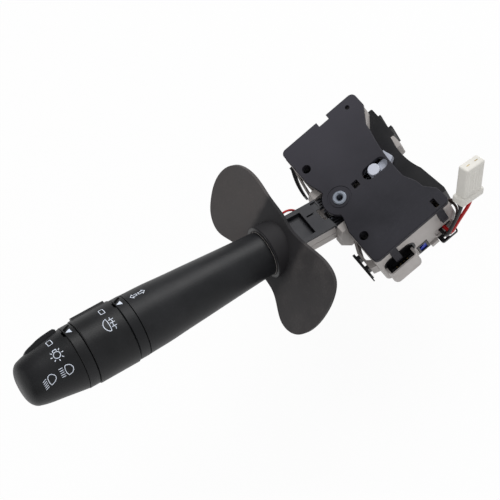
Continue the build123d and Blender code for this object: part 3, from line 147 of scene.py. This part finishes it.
def makeMouldedFinish():
    # Colour that drifts in clouds, gloss that drifts with it, and a fine moulded grain as height
    group, entry, leave = newGroup(
        "moulded finish",
        [
            ("Colour", "NodeSocketColor", (0.1, 0.1, 0.1, 1)),
            ("Second Colour", "NodeSocketColor", (0.1, 0.1, 0.1, 1)),
            ("Drift Scale", "NodeSocketFloat", 40.0),
            ("Grain Scale", "NodeSocketFloat", 2500.0),
            ("Roughness", "NodeSocketFloat", 0.5),
            ("Roughness Drift", "NodeSocketFloat", 0.1),
        ],
        [("Colour", "NodeSocketColor"), ("Roughness", "NodeSocketFloat"), ("Grain", "NodeSocketFloat")],
    )
    link = group.links.new
    place = group.nodes.new("ShaderNodeTexCoord").outputs["Object"]
    drift = noiseNode(group, 40, 4, place)
    link(entry.outputs["Drift Scale"], drift.inputs["Scale"])
    cloud = rangeNode(group, drift.outputs["Fac"], 0.35, 0.65)
    link(mixColour(group, cloud, entry.outputs["Colour"], entry.outputs["Second Colour"]), leave.inputs["Colour"])
    gloss = mathNode(group, "MULTIPLY_ADD", cloud, entry.outputs["Roughness Drift"], entry.outputs["Roughness"])
    link(gloss, leave.inputs["Roughness"])
    grain = noiseNode(group, 2500, 2, place)
    link(entry.outputs["Grain Scale"], grain.inputs["Scale"])
    link(grain.outputs["Fac"], leave.inputs["Grain"])
    return group


def makeDust():
    # Pale dust that lies in patches over a colour and dulls it, with fine scratches in it
    group, entry, leave = newGroup(
        "dust and scuffs",
        [
            ("Colour", "NodeSocketColor", (0.1, 0.1, 0.1, 1)),
            ("Dust Colour", "NodeSocketColor", (0.3, 0.28, 0.26, 1)),
            ("Roughness", "NodeSocketFloat", 0.5),
            ("Amount", "NodeSocketFloat", 0.3),
            ("Patch Scale", "NodeSocketFloat", 60.0),
        ],
        [("Colour", "NodeSocketColor"), ("Roughness", "NodeSocketFloat"), ("Dust", "NodeSocketFloat")],
    )
    link = group.links.new
    place = group.nodes.new("ShaderNodeTexCoord").outputs["Object"]
    patch = noiseNode(group, 60, 5, place, 0.6)
    link(entry.outputs["Patch Scale"], patch.inputs["Scale"])
    fine = noiseNode(group, 900, 3, place, 0.7)
    stretch = group.nodes.new("ShaderNodeMapping")
    stretch.inputs["Scale"].default_value = (0.25, 1.6, 1.0)
    stretch.inputs["Rotation"].default_value = (0.0, 0.0, 0.6)
    link(place, stretch.inputs["Vector"])
    streak = noiseNode(group, 700, 2, stretch.outputs["Vector"], 0.6)
    spots = rangeNode(group, patch.outputs["Fac"], 0.38, 0.68)
    speck = rangeNode(group, fine.outputs["Fac"], 0.40, 0.72, 0.55, 1.15)
    line = rangeNode(group, streak.outputs["Fac"], 0.60, 0.74, 0.0, 0.5)
    cover = mathNode(group, "MULTIPLY", mathNode(group, "ADD", mathNode(group, "MULTIPLY", spots, speck), line),
                     entry.outputs["Amount"])
    amount = mathNode(group, "MINIMUM", cover, 1.0)
    link(mixColour(group, amount, entry.outputs["Colour"], entry.outputs["Dust Colour"]), leave.inputs["Colour"])
    link(mathNode(group, "MULTIPLY_ADD", amount, 0.35, entry.outputs["Roughness"]), leave.inputs["Roughness"])
    link(amount, leave.inputs["Dust"])
    return group


mouldedFinish = makeMouldedFinish()
dustAndScuffs = makeDust()


def groupNode(tree, group, values):
    node = tree.nodes.new("ShaderNodeGroup")
    node.node_tree = group
    for label, value in values.items():
        if isinstance(value, tuple):
            node.inputs[label].default_value = (*value, 1)
        elif isinstance(value, (int, float)):
            node.inputs[label].default_value = value
        else:
            tree.links.new(value, node.inputs[label])
    return node


def finish(name, colour, second=None, rough=0.5, roughDrift=0.08, drift=45.0, grain=2200.0, depth=0.0,
           metal=0.0, specular=0.3, dust=0.0, dustColour=(0.20, 0.19, 0.18), patch=60.0):
    material = bpy.data.materials.new(name)
    material.use_nodes = True
    tree = material.node_tree
    shader = tree.nodes["Principled BSDF"]
    body = groupNode(tree, mouldedFinish, {
        "Colour": colour, "Second Colour": second or colour, "Drift Scale": drift, "Grain Scale": grain,
        "Roughness": rough, "Roughness Drift": roughDrift,
    })
    skin = body
    if dust:
        skin = groupNode(tree, dustAndScuffs, {
            "Colour": body.outputs["Colour"], "Dust Colour": dustColour, "Roughness": body.outputs["Roughness"],
            "Amount": dust, "Patch Scale": patch,
        })
    tree.links.new(skin.outputs["Colour"], shader.inputs["Base Color"])
    tree.links.new(skin.outputs["Roughness"], shader.inputs["Roughness"])
    if depth:
        bump = tree.nodes.new("ShaderNodeBump")
        bump.inputs["Strength"].default_value = 1.0
        bump.inputs["Distance"].default_value = depth
        tree.links.new(body.outputs["Grain"], bump.inputs["Height"])
        tree.links.new(bump.outputs["Normal"], shader.inputs["Normal"])
    shader.inputs["Metallic"].default_value = metal
    shader.inputs["Specular IOR Level"].default_value = specular
    return material


finishes = {
    "cover_black": finish("cover plastic", (0.0150, 0.0148, 0.0200), (0.0230, 0.0225, 0.0290), 0.50, 0.12, 34,
                          1800, 0.00003, specular=0.25, dust=0.10, dustColour=(0.09, 0.09, 0.11), patch=42),
    "body_pale": finish("pale housing plastic", (0.42, 0.395, 0.38), (0.49, 0.46, 0.445), 0.42, 0.1, 50, 900,
                        0.00002, specular=0.4, dust=0.10, dustColour=(0.22, 0.20, 0.18), patch=120),
    "insert_black": finish("black insert plastic", (0.007, 0.007, 0.009), (0.012, 0.012, 0.014), 0.35, 0.1),
    "stalk_black": finish("stalk plastic", (0.0070, 0.0076, 0.0092), (0.0105, 0.0112, 0.0130), 0.42, 0.06, 40,
                          2600, 0.00003, specular=0.27, dust=0.05, dustColour=(0.10, 0.10, 0.11), patch=80),
    "knob_black": finish("knob plastic", (0.0062, 0.0067, 0.0078), (0.0092, 0.0098, 0.0112), 0.42, 0.06, 40,
                         2600, 0.00003, specular=0.27, dust=0.05, dustColour=(0.10, 0.10, 0.11), patch=80),
    "core_grey": finish("core plastic", (0.06, 0.06, 0.06), (0.075, 0.075, 0.075)),
    "cap_dark": finish("arm cap plastic", (0.0150, 0.0158, 0.0205), (0.0235, 0.0243, 0.0300), 0.48, 0.1, 60, 1600,
                       0.00003, dust=0.10, dustColour=(0.12, 0.12, 0.13), patch=90),
    "slider_white": finish("white slider plastic", (0.52, 0.55, 0.64), (0.60, 0.62, 0.70), 0.35),
    "key_blue": finish("blue key plastic", (0.006, 0.030, 0.40), (0.010, 0.045, 0.52), 0.35),
    "steel": finish("zinc steel", (0.30, 0.335, 0.395), (0.35, 0.385, 0.445), 0.5, 0.08, 70, metal=0.85),
    "contact_brass": finish("contact brass", (0.55, 0.40, 0.16), (0.62, 0.47, 0.22), 0.3, 0.1, 120, metal=1.0),
    "board_brown": finish("board", (0.14, 0.08, 0.04), (0.18, 0.10, 0.05), 0.5),
    "wire_black": finish("black wire", (0.010, 0.010, 0.011), (0.016, 0.016, 0.018), 0.32),
    "wire_red": finish("red wire", (0.42, 0.004, 0.006), (0.55, 0.010, 0.012), 0.32),
    "harness_dark": finish("brown wire", (0.020, 0.011, 0.010), (0.030, 0.016, 0.014), 0.35),
    "plug_white": finish("plug nylon", (0.70, 0.685, 0.64), (0.78, 0.76, 0.71), 0.34, 0.08, 60),
}
springSteel = finish("spring steel", (0.05, 0.05, 0.055), (0.09, 0.09, 0.095), 0.35, 0.1, 200, metal=1.0)
printWhite = finish("printed white", (0.66, 0.72, 0.84), (0.80, 0.85, 0.93), 0.5, 0.1, 500, dust=0.15,
                    dustColour=(0.30, 0.32, 0.36), patch=400)
# Painted shadow: near-black colour laid where narrow gaps lie in shade
paintedGapShadow = finish("shadow gap", (0.0020, 0.0020, 0.0022), (0.0030, 0.0030, 0.0032), 0.85, specular=0.05)


def makeShieldRubber():
    # Dusty lobes, and a blacker band of clean rubber where the collar stands
    material = finish("shield rubber", (0.0135, 0.0130, 0.0150), (0.0190, 0.0180, 0.0200), 0.62, 0.1, 30,
                      1500, 0.00004)
    tree = material.node_tree
    shader = tree.nodes["Principled BSDF"]
    body = shader.inputs["Base Color"].links[0].from_node
    place = tree.nodes.new("ShaderNodeTexCoord").outputs["Object"]
    split = tree.nodes.new("ShaderNodeSeparateXYZ")
    tree.links.new(place, split.inputs[0])
    wobble = noiseNode(tree, 90, 3, place).outputs["Fac"]
    across = mathNode(tree, "MULTIPLY_ADD", wobble, 0.006, mathNode(tree, "ABSOLUTE", split.outputs["Y"], 0.0))
    lobe = rangeNode(tree, across, 0.0150, 0.0195)
    far = rangeNode(tree, split.outputs["Y"], -0.012, 0.014, 0.38, 1.05)
    amount = mathNode(tree, "MULTIPLY", lobe, far)
    skin = groupNode(tree, dustAndScuffs, {
        "Colour": body.outputs["Colour"], "Dust Colour": (0.125, 0.114, 0.112),
        "Roughness": body.outputs["Roughness"], "Amount": amount, "Patch Scale": 70.0,
    })
    veil = mixColour(tree, mathNode(tree, "MULTIPLY", amount, 0.72), skin.outputs["Colour"], (0.092, 0.084, 0.083))
    tree.links.new(veil, shader.inputs["Base Color"])
    tree.links.new(skin.outputs["Roughness"], shader.inputs["Roughness"])
    return material




def makeCoverPaintedSheen():
    # Painted sheen: the cover's colour is made lighter towards +Y, standing in for the sheen of the light that
    # falls from that side
    material = finishes["cover_black"]
    tree = material.node_tree
    shader = tree.nodes["Principled BSDF"]
    body = shader.inputs["Base Color"].links[0].from_socket
    place = tree.nodes.new("ShaderNodeTexCoord").outputs["Object"]
    split = tree.nodes.new("ShaderNodeSeparateXYZ")
    tree.links.new(place, split.inputs[0])
    wobble = noiseNode(tree, 60, 3, place).outputs["Fac"]
    along = mathNode(tree, "MULTIPLY_ADD", wobble, 0.03, split.outputs["Y"])
    share = rangeNode(tree, along, -0.012, 0.052, 0.0, 0.75)
    # The lighter bluish colour mixed in here is the painted sheen
    tree.links.new(mixColour(tree, share, body, (0.048, 0.046, 0.058)), shader.inputs["Base Color"])


makeCoverPaintedSheen()
finishes["shield_rubber"] = makeShieldRubber()
slotOf = {entry["node"]: entry["material_slot"] for entry in frame["record"]["subparts"]}
springs = ("cancel_spring", "turn_spring", "flash_spring")
for name, obj in nodes.items():
    obj.data.materials.clear()
    obj.data.materials.append(springSteel if name in springs else finishes[slotOf[name]])
print("finishes placed")


def keep(bm, name, material, body, smooth=False):
    # Turn a finished bmesh into a piece that rides on a body
    mesh = bpy.data.meshes.new(name)
    bm.to_mesh(mesh)
    bm.free()
    if smooth:
        mesh.shade_smooth()
    obj = bpy.data.objects.new(name, mesh)
    bpy.context.scene.collection.objects.link(obj)
    mesh.materials.append(material)
    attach(obj, body)
    return obj


# Cords on the same routes as in the part
def makeCord(name, points, diameter, body, material):
    data = bpy.data.curves.new(name, "CURVE")
    data.dimensions = "3D"
    data.bevel_depth = diameter / 2
    data.bevel_resolution = 5
    data.use_fill_caps = True
    data.resolution_u = 10
    line = data.splines.new("NURBS")
    line.points.add(len(points) - 1)
    for point, place in zip(line.points, points):
        point.co = (*place, 1)
    line.order_u = 3
    line.use_endpoint_u = True
    data.materials.append(material)
    obj = bpy.data.objects.new(name, data)
    bpy.context.scene.collection.objects.link(obj)
    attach(obj, body)
    return obj


plug = {
    "end": (43.7, -40.0, 27.4), "axis": (0.573, 0.14, 0.808), "long": (0.813, 0.028, -0.581),
    "pitch": 5.08,
}
plugEnd = Vector(plug["end"])
plugAxis = Vector(plug["axis"]).normalized()
plugLong = Vector(plug["long"])
plugLong = (plugLong - plugAxis * plugLong.dot(plugAxis)).normalized()

pigtail = {
    "mid": [(28.7, -33.4, 5.3), (28.7, -37.6, 5.3), (29.6, -39.6, 8.9), (32.6, -39.9, 13.2), (36.9, -40.1, 18.0),
            tuple(plugEnd - plugAxis * 4.4), tuple(plugEnd)],
    "side": [(1.1, 0, 0), (1.1, 0, 0), (1.05, 0, -0.35), (0.95, 0, -0.65), (1.2, 0, -0.95),
             tuple(plugLong * plug["pitch"] / 2), tuple(plugLong * plug["pitch"] / 2)],
    "diameter": 0.0016,
    "wires": (("black", -1, 0.0319), ("red", 1, 0.0308)),
}
for colour, way, length in pigtail["wires"]:
    route = [(Vector(m) + Vector(o) * way) * mm for m, o in zip(pigtail["mid"], pigtail["side"])]
    wire = makeCord("pigtail_" + colour, route, pigtail["diameter"], "housing", finishes["wire_" + colour])
    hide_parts("pigtail_wire_" + colour)

armWire = {
    "points": [(16.5, -0.5, 3.5), (21.0, 2.5, 9.6), (26.3, 6.1, 9.9), (30.6, 4.2, 9.8), (36.0, -4.2, 3.0)],
    "diameter": 0.0010, "length": 0.0304,
}
route = [leverBase + (leverTip * s + leverUp * h + leverSide * y) * mm for s, h, y in armWire["points"]]
wire = makeCord("arm_side_wire", route, armWire["diameter"], "lever", finishes["wire_red"])
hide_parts("arm_wire")

harness = {
    "mid": [(34.4, -30.8, 19.1), (37.9, -31.4, 19.1), (38.8, -34.9, 18.0), (37.7, -36.6, 14.6), (34.6, -36.9, 9.0),
            (31.6, -36.8, 4.6), (30.2, -36.6, 0.8)],
    "side": [(0, 0, 1.7), (0, 0, 1.7), (1.5, 0, 1.1), (1.6, 0, 0.1), (1.6, 0, -0.3), (1.5, 0, -0.3),
             (1.4, 0, -0.1)],
    "diameter": 0.0012,
}
for way in (0, 1):
    route = [(Vector(m) + Vector(o) * way) * mm for m, o in zip(harness["mid"], harness["side"])]
    wire = makeCord("harness_wire_" + str(way + 1), route, harness["diameter"], "housing",
                    finishes["harness_dark"])
    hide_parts("harness_wires")
print("cords laid")


# Printed symbols, wrapped on the rings
film = {"sunk": -0.02, "thick": 0.05, "step": 0.45}


def addBar(bm, start, end, width, rounding=0.3):
    # A straight stroke with slightly rounded ends
    a, b = Vector((*start, 0)), Vector((*end, 0))
    turn = math.atan2(b.y - a.y, b.x - a.x)
    made = bmesh.ops.create_grid(bm, x_segments=1, y_segments=1, size=0.5)["verts"]
    bmesh.ops.scale(bm, vec=((b - a).length, width, 1), verts=made)
    bmesh.ops.rotate(bm, cent=(0, 0, 0), matrix=Matrix.Rotation(turn, 3, "Z"), verts=made)
    bmesh.ops.translate(bm, vec=(a + b) / 2, verts=made)
    bmesh.ops.bevel(bm, geom=made, offset=width * rounding, segments=2, affect="VERTICES", profile=0.5,
                    material=-1)


def addOutline(bm, points, width, rounding=0.0):
    # A closed outline stroke, or the whole shape where the stroke has no width; it comes first in its bmesh
    bm.faces.new([bm.verts.new((x, y, 0)) for x, y in points])
    bm.normal_update()
    bmesh.ops.reverse_faces(bm, faces=[f for f in bm.faces if f.normal.z < 0])
    if rounding:
        bmesh.ops.bevel(bm, geom=bm.verts[:], offset=rounding, segments=3, affect="VERTICES", profile=0.5,
                        material=-1)
    bm.faces.ensure_lookup_table()
    face = bm.faces[0]
    if width:
        bmesh.ops.inset_region(bm, faces=[face], thickness=width, use_boundary=True, use_even_offset=True)
        bmesh.ops.delete(bm, geom=[face], context="FACES_ONLY")


def addRing(bm, centre, radius, width):
    made = bmesh.ops.create_circle(bm, cap_ends=True, segments=28, radius=radius)["verts"]
    bmesh.ops.translate(bm, vec=(*centre, 0), verts=made)
    face = made[0].link_faces[0]
    bmesh.ops.inset_region(bm, faces=[face], thickness=width, use_boundary=True, use_even_offset=True)
    bmesh.ops.delete(bm, geom=[face], context="FACES_ONLY")


def addWave(bm, x, low, high, width, swing, waves):
    # A wavy stroke that runs up the symbol
    made = bmesh.ops.create_grid(bm, x_segments=1, y_segments=24, size=0.5)["verts"]
    bmesh.ops.scale(bm, vec=(width, high - low, 1), verts=made)
    bmesh.ops.translate(bm, vec=(x, (low + high) / 2, 0.012), verts=made)
    for vert in made:
        vert.co.x += swing * math.sin((vert.co.y - low) / (high - low) * waves * 2 * math.pi)


def wrapFilm(bm, node, s, angle, sunk=film["sunk"], thick=film["thick"], clear=None):
    # Cut the flat film small, give it its thickness, and lay it round the lever: x to -s, y to the angle
    box = [(min(v.co[k] for v in bm.verts), max(v.co[k] for v in bm.verts)) for k in (0, 1)]
    for axis, normal in ((0, (1, 0, 0)), (1, (0, 1, 0))):
        low, high = box[axis]
        for k in range(1, int((high - low) / film["step"]) + 1):
            place = [0, 0, 0]
            place[axis] = low + k * film["step"]
            bmesh.ops.bisect_plane(bm, geom=bm.verts[:] + bm.edges[:] + bm.faces[:], plane_co=place,
                                   plane_no=normal)
    bmesh.ops.recalc_face_normals(bm, faces=bm.faces[:])
    for face in bm.faces:
        if face.normal.z < 0:
            face.normal_flip()
    top = bmesh.ops.extrude_face_region(bm, geom=bm.faces[:], use_keep_orig=True)
    lifted = [g for g in top["geom"] if isinstance(g, bmesh.types.BMVert)]
    bmesh.ops.translate(bm, vec=(0, 0, thick), verts=lifted)
    middle = surfaceAt(node, s, angle if clear is None else clear)
    for vert in bm.verts:
        here = s - vert.co.x
        turn = angle + math.degrees(vert.co.y / middle)
        level = surfaceAt(node, here, turn if clear is None else clear)
        vert.co = onLever(here, turn, level + vert.co.z + sunk)
    bmesh.ops.recalc_face_normals(bm, faces=bm.faces[:])


def surfaceAt(node, s, angle):
    # Radius in mm at which the CAD surface lies under a point of the lever
    start = onLever(s, angle, 30)
    hit, place, normal, index = nodes[node].ray_cast(start, -outOf(angle))
    if not hit:
        return 14.0
    return 30 - (place - start).length / mm


def joinMark(whole, bm):
    # Add a finished mark to the film that holds all marks of one ring
    part = bpy.data.meshes.new("mark")
    bm.to_mesh(part)
    bm.free()
    whole.from_mesh(part)
    bpy.data.meshes.remove(part)


headlamp = {
    "full": [(-1.15, 2.05), (-0.3, 2.28), (0.8, 2.0), (1.65, 1.25), (2.05, 0.1), (1.75, -1.0), (0.9, -1.85),
             (-0.3, -2.25), (-1.0, -2.25), (-1.5, -1.1), (-1.62, 0.1), (-1.5, 1.2)],
    "dipped": [(-1.1, 1.85), (-0.2, 2.2), (0.8, 1.95), (1.7, 1.2), (2.05, 0.2), (1.7, -0.75), (0.8, -1.6),
               (-0.4, -2.2), (-1.1, -2.45), (-1.55, -1.3), (-1.7, 0.0), (-1.5, 1.2)],
    "fog": [(1.2, 3.0), (0.2, 2.75), (-0.7, 1.9), (-1.25, 0.9), (-1.4, -0.2), (-1.2, -1.3), (-0.6, -2.3),
            (0.2, -2.95), (1.0, -3.1), (1.35, -1.8), (1.45, 0.0), (1.4, 1.6)],
}
stroke = 0.31


def makeLightPrints():
    marks = []
    bm = bmesh.new()  # off
    addOutline(bm, [(-1.2, -1.72), (1.2, -1.72), (1.2, 1.72), (-1.2, 1.72)], stroke, 0.35)
    marks.append((bm, 147.75, 26.3))
    bm = bmesh.new()  # side lights: a bulb with rays
    addRing(bm, (0, 0), 1.62, stroke)
    for turn in (0, 180, 270, 225, 315, 45, 135):
        a = math.radians(turn)
        addBar(bm, (2.1 * math.cos(a), 2.1 * math.sin(a)), (2.95 * math.cos(a), 2.95 * math.sin(a)), 0.38)
    addBar(bm, (-0.78, 1.72), (-0.78, 2.75), 0.34, 0.1)
    addBar(bm, (0.78, 1.72), (0.78, 2.75), 0.34, 0.1)
    addBar(bm, (-0.61, 2.58), (0.61, 2.58), 0.34, 0.1)
    marks.append((bm, 148.1, -6.9))
    bm = bmesh.new()  # full beam: five level rays
    addOutline(bm, headlamp["full"], stroke)
    for k in range(5):
        addBar(bm, (-3.85, 1.82 - k * 0.93), (-2.1, 1.82 - k * 0.93), 0.30)
    marks.append((bm, 146.7, -40.6))
    bm = bmesh.new()  # dipped beam: five falling rays
    addOutline(bm, headlamp["dipped"], stroke)
    for k in range(5):
        addBar(bm, (-3.85, 0.35 - k * 0.92), (-2.15, 1.25 - k * 0.92), 0.30)
    marks.append((bm, 154.5, -42.6))
    whole = bmesh.new()
    for bm, s, angle in marks:
        wrapFilm(bm, "light_knob", s, angle)
        joinMark(whole, bm)
    keep(whole, "light_prints", printWhite, "light_switch")


def makeFogPrints():
    whole = bmesh.new()
    marks = []
    bm = bmesh.new()  # off
    addOutline(bm, [(-1.15, -1.68), (1.15, -1.68), (1.15, 1.68), (-1.15, 1.68)], stroke, 0.45)
    marks.append((bm, 122.8, 23.0))
    bm = bmesh.new()  # rear fog lamp: three rays crossed by a wave
    addOutline(bm, headlamp["fog"], stroke)
    for y in (1.62, 0.15, -1.55):
        addBar(bm, (1.85, y), (4.1, y), 0.32)
    addWave(bm, 2.95, -3.15, 2.85, 0.28, 0.26, 2.0)
    marks.append((bm, 124.8, -6.8))
    for bm, s, angle in marks:
        wrapFilm(bm, "fog_ring", s, angle)
        joinMark(whole, bm)
    keep(whole, "fog_prints", printWhite, "fog_collar")


arrow = {"tail": 0.72, "neck": 1.85, "wing": 1.62, "tip": 3.35, "stroke": 0.30}


def makeTurnArrows():
    whole = bmesh.new()
    for way, s in ((-1, 106.0), (1, 105.45)):
        bm = bmesh.new()
        t, n, w, e = (arrow[k] for k in ("tail", "neck", "wing", "tip"))
        points = [(0, -t), (n, -t), (n, -w), (e, 0), (n, w), (n, t), (0, t)]
        addOutline(bm, [(x * way, y) for x, y in points], arrow["stroke"])
        wrapFilm(bm, "stalk_tube", s, 22.5)
        joinMark(whole, bm)
    keep(whole, "turn_arrows", printWhite, "lever")


pointer = {"length": 2.4, "half": 1.36}


def makePointers():
    # White pointer on each fixed ring, and behind it a black sheet painted on the slanted edge as the shadow of
    # the gap under the turning piece's skirt
    for name, node, s, edge in (("inner", "marker_ring_inner", 113.5, 116.35),
                                ("outer", "marker_ring_outer", 137.75, 140.6)):
        bm = bmesh.new()
        addOutline(bm, [(0, -pointer["half"]), (0, pointer["half"]), (-pointer["length"], 0)], 0)
        wrapFilm(bm, node, s, 22.3)
        keep(bm, "pointer_" + name, printWhite, "lever")
        bm = bmesh.new()
        # Painted shadow: a black sheet where the slanted edge of the gap lies in shade
        addOutline(bm, [(0.2, -1.1), (0.2, 0.9), (3.9, 3.8), (3.9, 1.9)], 0)
        wrapFilm(bm, node, edge, 29.5)
        keep(bm, "painted_shadow_line_" + name, paintedGapShadow, "lever")


notchTip = {"start": 0.95, "depth": 1.57, "half": 1.42, "angle": 23.0, "clearAngle": 2.0, "thick": 1.5}


def makeNotchTips():
    # The turning pieces' pointer notch is closed again at its tip, so that a narrow dark corner is left
    for name, node, start, body in (("fog", "fog_ring", 116.6, "fog_collar"),
                                    ("light", "light_knob", 140.9, "light_switch")):
        bm = bmesh.new()
        addOutline(bm, [(0, -notchTip["half"]), (0, notchTip["half"]), (-notchTip["depth"], 0)], 0)
        wrapFilm(bm, node, start + notchTip["start"], notchTip["angle"], -notchTip["thick"], notchTip["thick"],
                 notchTip["clearAngle"])
        keep(bm, "notch_tip_" + name, finishes["knob_black"], body)


lip = {"at": 44.95, "radius": 11.35, "half": 0.98, "flat": 0.38}


def makeCollarLip():
    # Rolled rubber lip of the shield's collar, which closes the narrow gap against the tube
    bm = bmesh.new()
    made = bmesh.ops.create_circle(bm, segments=12, radius=lip["half"])["verts"]
    bmesh.ops.rotate(bm, cent=(0, 0, 0), matrix=Matrix.Rotation(math.radians(90), 3, "X"), verts=made)
    bmesh.ops.scale(bm, vec=(1, 1, lip["flat"]), verts=made)
    bmesh.ops.translate(bm, vec=(lip["radius"], 0, lip["at"]), verts=made)
    bmesh.ops.spin(bm, geom=bm.verts[:] + bm.edges[:], cent=(0, 0, 0), axis=(0, 0, 1), angle=2 * math.pi, steps=72,
                   use_merge=True)
    bmesh.ops.recalc_face_normals(bm, faces=bm.faces[:])
    turn = Matrix((leverUp, leverSide, leverTip)).transposed()
    if turn.determinant() < 0:
        bmesh.ops.reverse_faces(bm, faces=bm.faces[:])
    for vert in bm.verts:
        vert.co = leverBase + (turn @ vert.co) * mm
    keep(bm, "collar_lip", finishes["insert_black"], "lever", True)


makeCollarLip()
makeNotchTips()
makeLightPrints()
makeFogPrints()
makeTurnArrows()
makePointers()
print("symbols printed")


# Two-way connector of the pigtail
plugBody = {"width": 11.4, "depth": 5.2, "length": 19.4, "round": 0.8, "lean": 8.5,
            "leanAxis": (0.05, -0.45, 0.89),
            "flangeWidth": 14.0, "flangeDepth": 6.6, "flangeHeight": 4.2, "flangeRound": 1.3,
            "ribs": 6, "ribWidth": 0.55, "ribProud": 0.09, "slotWidth": 2.1, "slotDepth": 0.55}


def addBlock(bm, size, centre, rounding, segments=3):
    made = bmesh.ops.create_cube(bm, size=1)["verts"]
    bmesh.ops.scale(bm, vec=size, verts=made)
    bmesh.ops.translate(bm, vec=centre, verts=made)
    edges = list({e for v in made for e in v.link_edges})
    bmesh.ops.bevel(bm, geom=edges, offset=rounding, segments=segments, affect="EDGES", profile=0.5, material=-1)


def placePlug(bm):
    # From the plug's own axes to its place on the wires, leaning a little as it hangs on them
    lean = Matrix.Rotation(math.radians(plugBody["lean"]), 3, Vector(plugBody["leanAxis"]).normalized())
    across = lean @ plugLong
    along = lean @ plugAxis
    frontWay = along.cross(across)
    turn = Matrix((across, frontWay, along)).transposed().to_4x4()
    whole = Matrix.Translation(plugEnd * mm) @ turn @ Matrix.Scale(mm, 4)
    bmesh.ops.transform(bm, matrix=whole, verts=bm.verts[:])


def makePlug():
    bm = bmesh.new()
    p = plugBody
    addBlock(bm, (p["width"], p["depth"], p["length"]), (0, 0, p["length"] / 2), p["round"])
    addBlock(bm, (p["flangeWidth"], p["flangeDepth"], p["flangeHeight"]), (0, 0, p["flangeHeight"] / 2),
             p["flangeRound"], 4)
    for k in range(p["ribs"]):  # ribs on the near side, the one that the photograph shows
        x = (k - (p["ribs"] - 1) / 2) * 1.65
        addBlock(bm, (p["ribWidth"], 0.4, p["length"] - 7.0),
                 (x, -(p["depth"] / 2 - 0.2 + p["ribProud"]), p["length"] / 2 + 1.8), 0.12, 2)
    addBlock(bm, (3.0, 1.5, 6.5), (0, p["depth"] / 2 + 0.4, 7.4), 0.35)
    placePlug(bm)
    shell = keep(bm, "plug_shell", finishes["plug_white"], "housing")
    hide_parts("pigtail_connector", "pigtail_terminals")
    bm = bmesh.new()
    for x in (-plug["pitch"] / 2, plug["pitch"] / 2):
        addBlock(bm, (p["slotWidth"], p["slotDepth"], 1.0), (x, 0, p["length"] - 0.45), 0.1, 1)
    placePlug(bm)
    keep(bm, "plug_blades", finishes["contact_brass"], "housing")
    return shell


# Floor and lights
floorPlan = {"z": -0.045, "size": 6.0, "colour": (0.90, 0.90, 0.90), "white": 0.94}


def makeFloor():
    bm = bmesh.new()
    bmesh.ops.create_grid(bm, x_segments=1, y_segments=1, size=floorPlan["size"])
    bmesh.ops.translate(bm, vec=(0, 0, floorPlan["z"]), verts=bm.verts)
    mesh = bpy.data.meshes.new("floor")
    bm.to_mesh(mesh)
    bm.free()
    obj = bpy.data.objects.new("floor", mesh)
    bpy.context.scene.collection.objects.link(obj)
    material = bpy.data.materials.new("white floor")
    material.use_nodes = True
    tree = material.node_tree
    shader = tree.nodes["Principled BSDF"]
    shader.inputs["Base Color"].default_value = (*floorPlan["colour"], 1)
    shader.inputs["Roughness"].default_value = 0.9
    shader.inputs["Specular IOR Level"].default_value = 0.0
    white = tree.nodes.new("ShaderNodeEmission")
    white.inputs["Strength"].default_value = 1.0
    seen = tree.nodes.new("ShaderNodeLightPath")
    most = mathNode(tree, "MAXIMUM", seen.outputs["Is Camera Ray"], seen.outputs["Is Glossy Ray"])
    most = mathNode(tree, "MAXIMUM", most, seen.outputs["Is Transmission Ray"])
    share = mathNode(tree, "MULTIPLY", most, floorPlan["white"])  # the rest keeps the object's shadow
    mix = tree.nodes.new("ShaderNodeMixShader")
    tree.links.new(share, mix.inputs["Fac"])
    tree.links.new(shader.outputs["BSDF"], mix.inputs[1])
    tree.links.new(white.outputs["Emission"], mix.inputs[2])
    tree.links.new(mix.outputs["Shader"], tree.nodes["Material Output"].inputs["Surface"])
    mesh.materials.append(material)
    return obj


makeFloor()

worldPlan = {"onPart": 0.32, "seen": 1.0}
world = bpy.data.worlds.new("studio")
bpy.context.scene.world = world
world.use_nodes = True
world.node_tree.nodes["Background"].inputs["Color"].default_value = (1, 1, 1, 1)
# White where it is seen, and plain soft light on the part
seen = world.node_tree.nodes.new("ShaderNodeLightPath")
most = mathNode(world.node_tree, "MAXIMUM", seen.outputs["Is Camera Ray"], seen.outputs["Is Transmission Ray"])
level = mathNode(world.node_tree, "MULTIPLY_ADD", most, worldPlan["seen"] - worldPlan["onPart"],
                 worldPlan["onPart"])
world.node_tree.links.new(level, world.node_tree.nodes["Background"].inputs["Strength"])

lampPlan = {
    "key": {"at": (0.65, 0.38, 0.70), "size": 0.6, "power": 7.0},
    "fill": {"at": (0.30, -0.85, 0.45), "size": 1.6, "power": 3.0},
    "low": {"at": (-0.75, 0.10, 0.50), "size": 1.2, "power": 3.4},
}
aim = Vector((-0.04, 0, 0.03))


def makeLamp(name, plan):
    data = bpy.data.lights.new(name, "AREA")
    data.shape = "SQUARE"
    data.size = plan["size"]
    data.energy = plan["power"]
    lamp = bpy.data.objects.new(name, data)
    bpy.context.scene.collection.objects.link(lamp)
    at = Vector(plan["at"])
    lamp.matrix_world = Matrix.Translation(at) @ (aim - at).to_track_quat("-Z", "Y").to_matrix().to_4x4()


for name, plan in lampPlan.items():
    makeLamp(name, plan)

bpy.context.scene.view_settings.view_transform = "Standard"
print("floor and lights placed")

plugShell = makePlug()
for colour, way, length in pigtail["wires"]:
    name = "pigtail_" + colour
print("connector made")
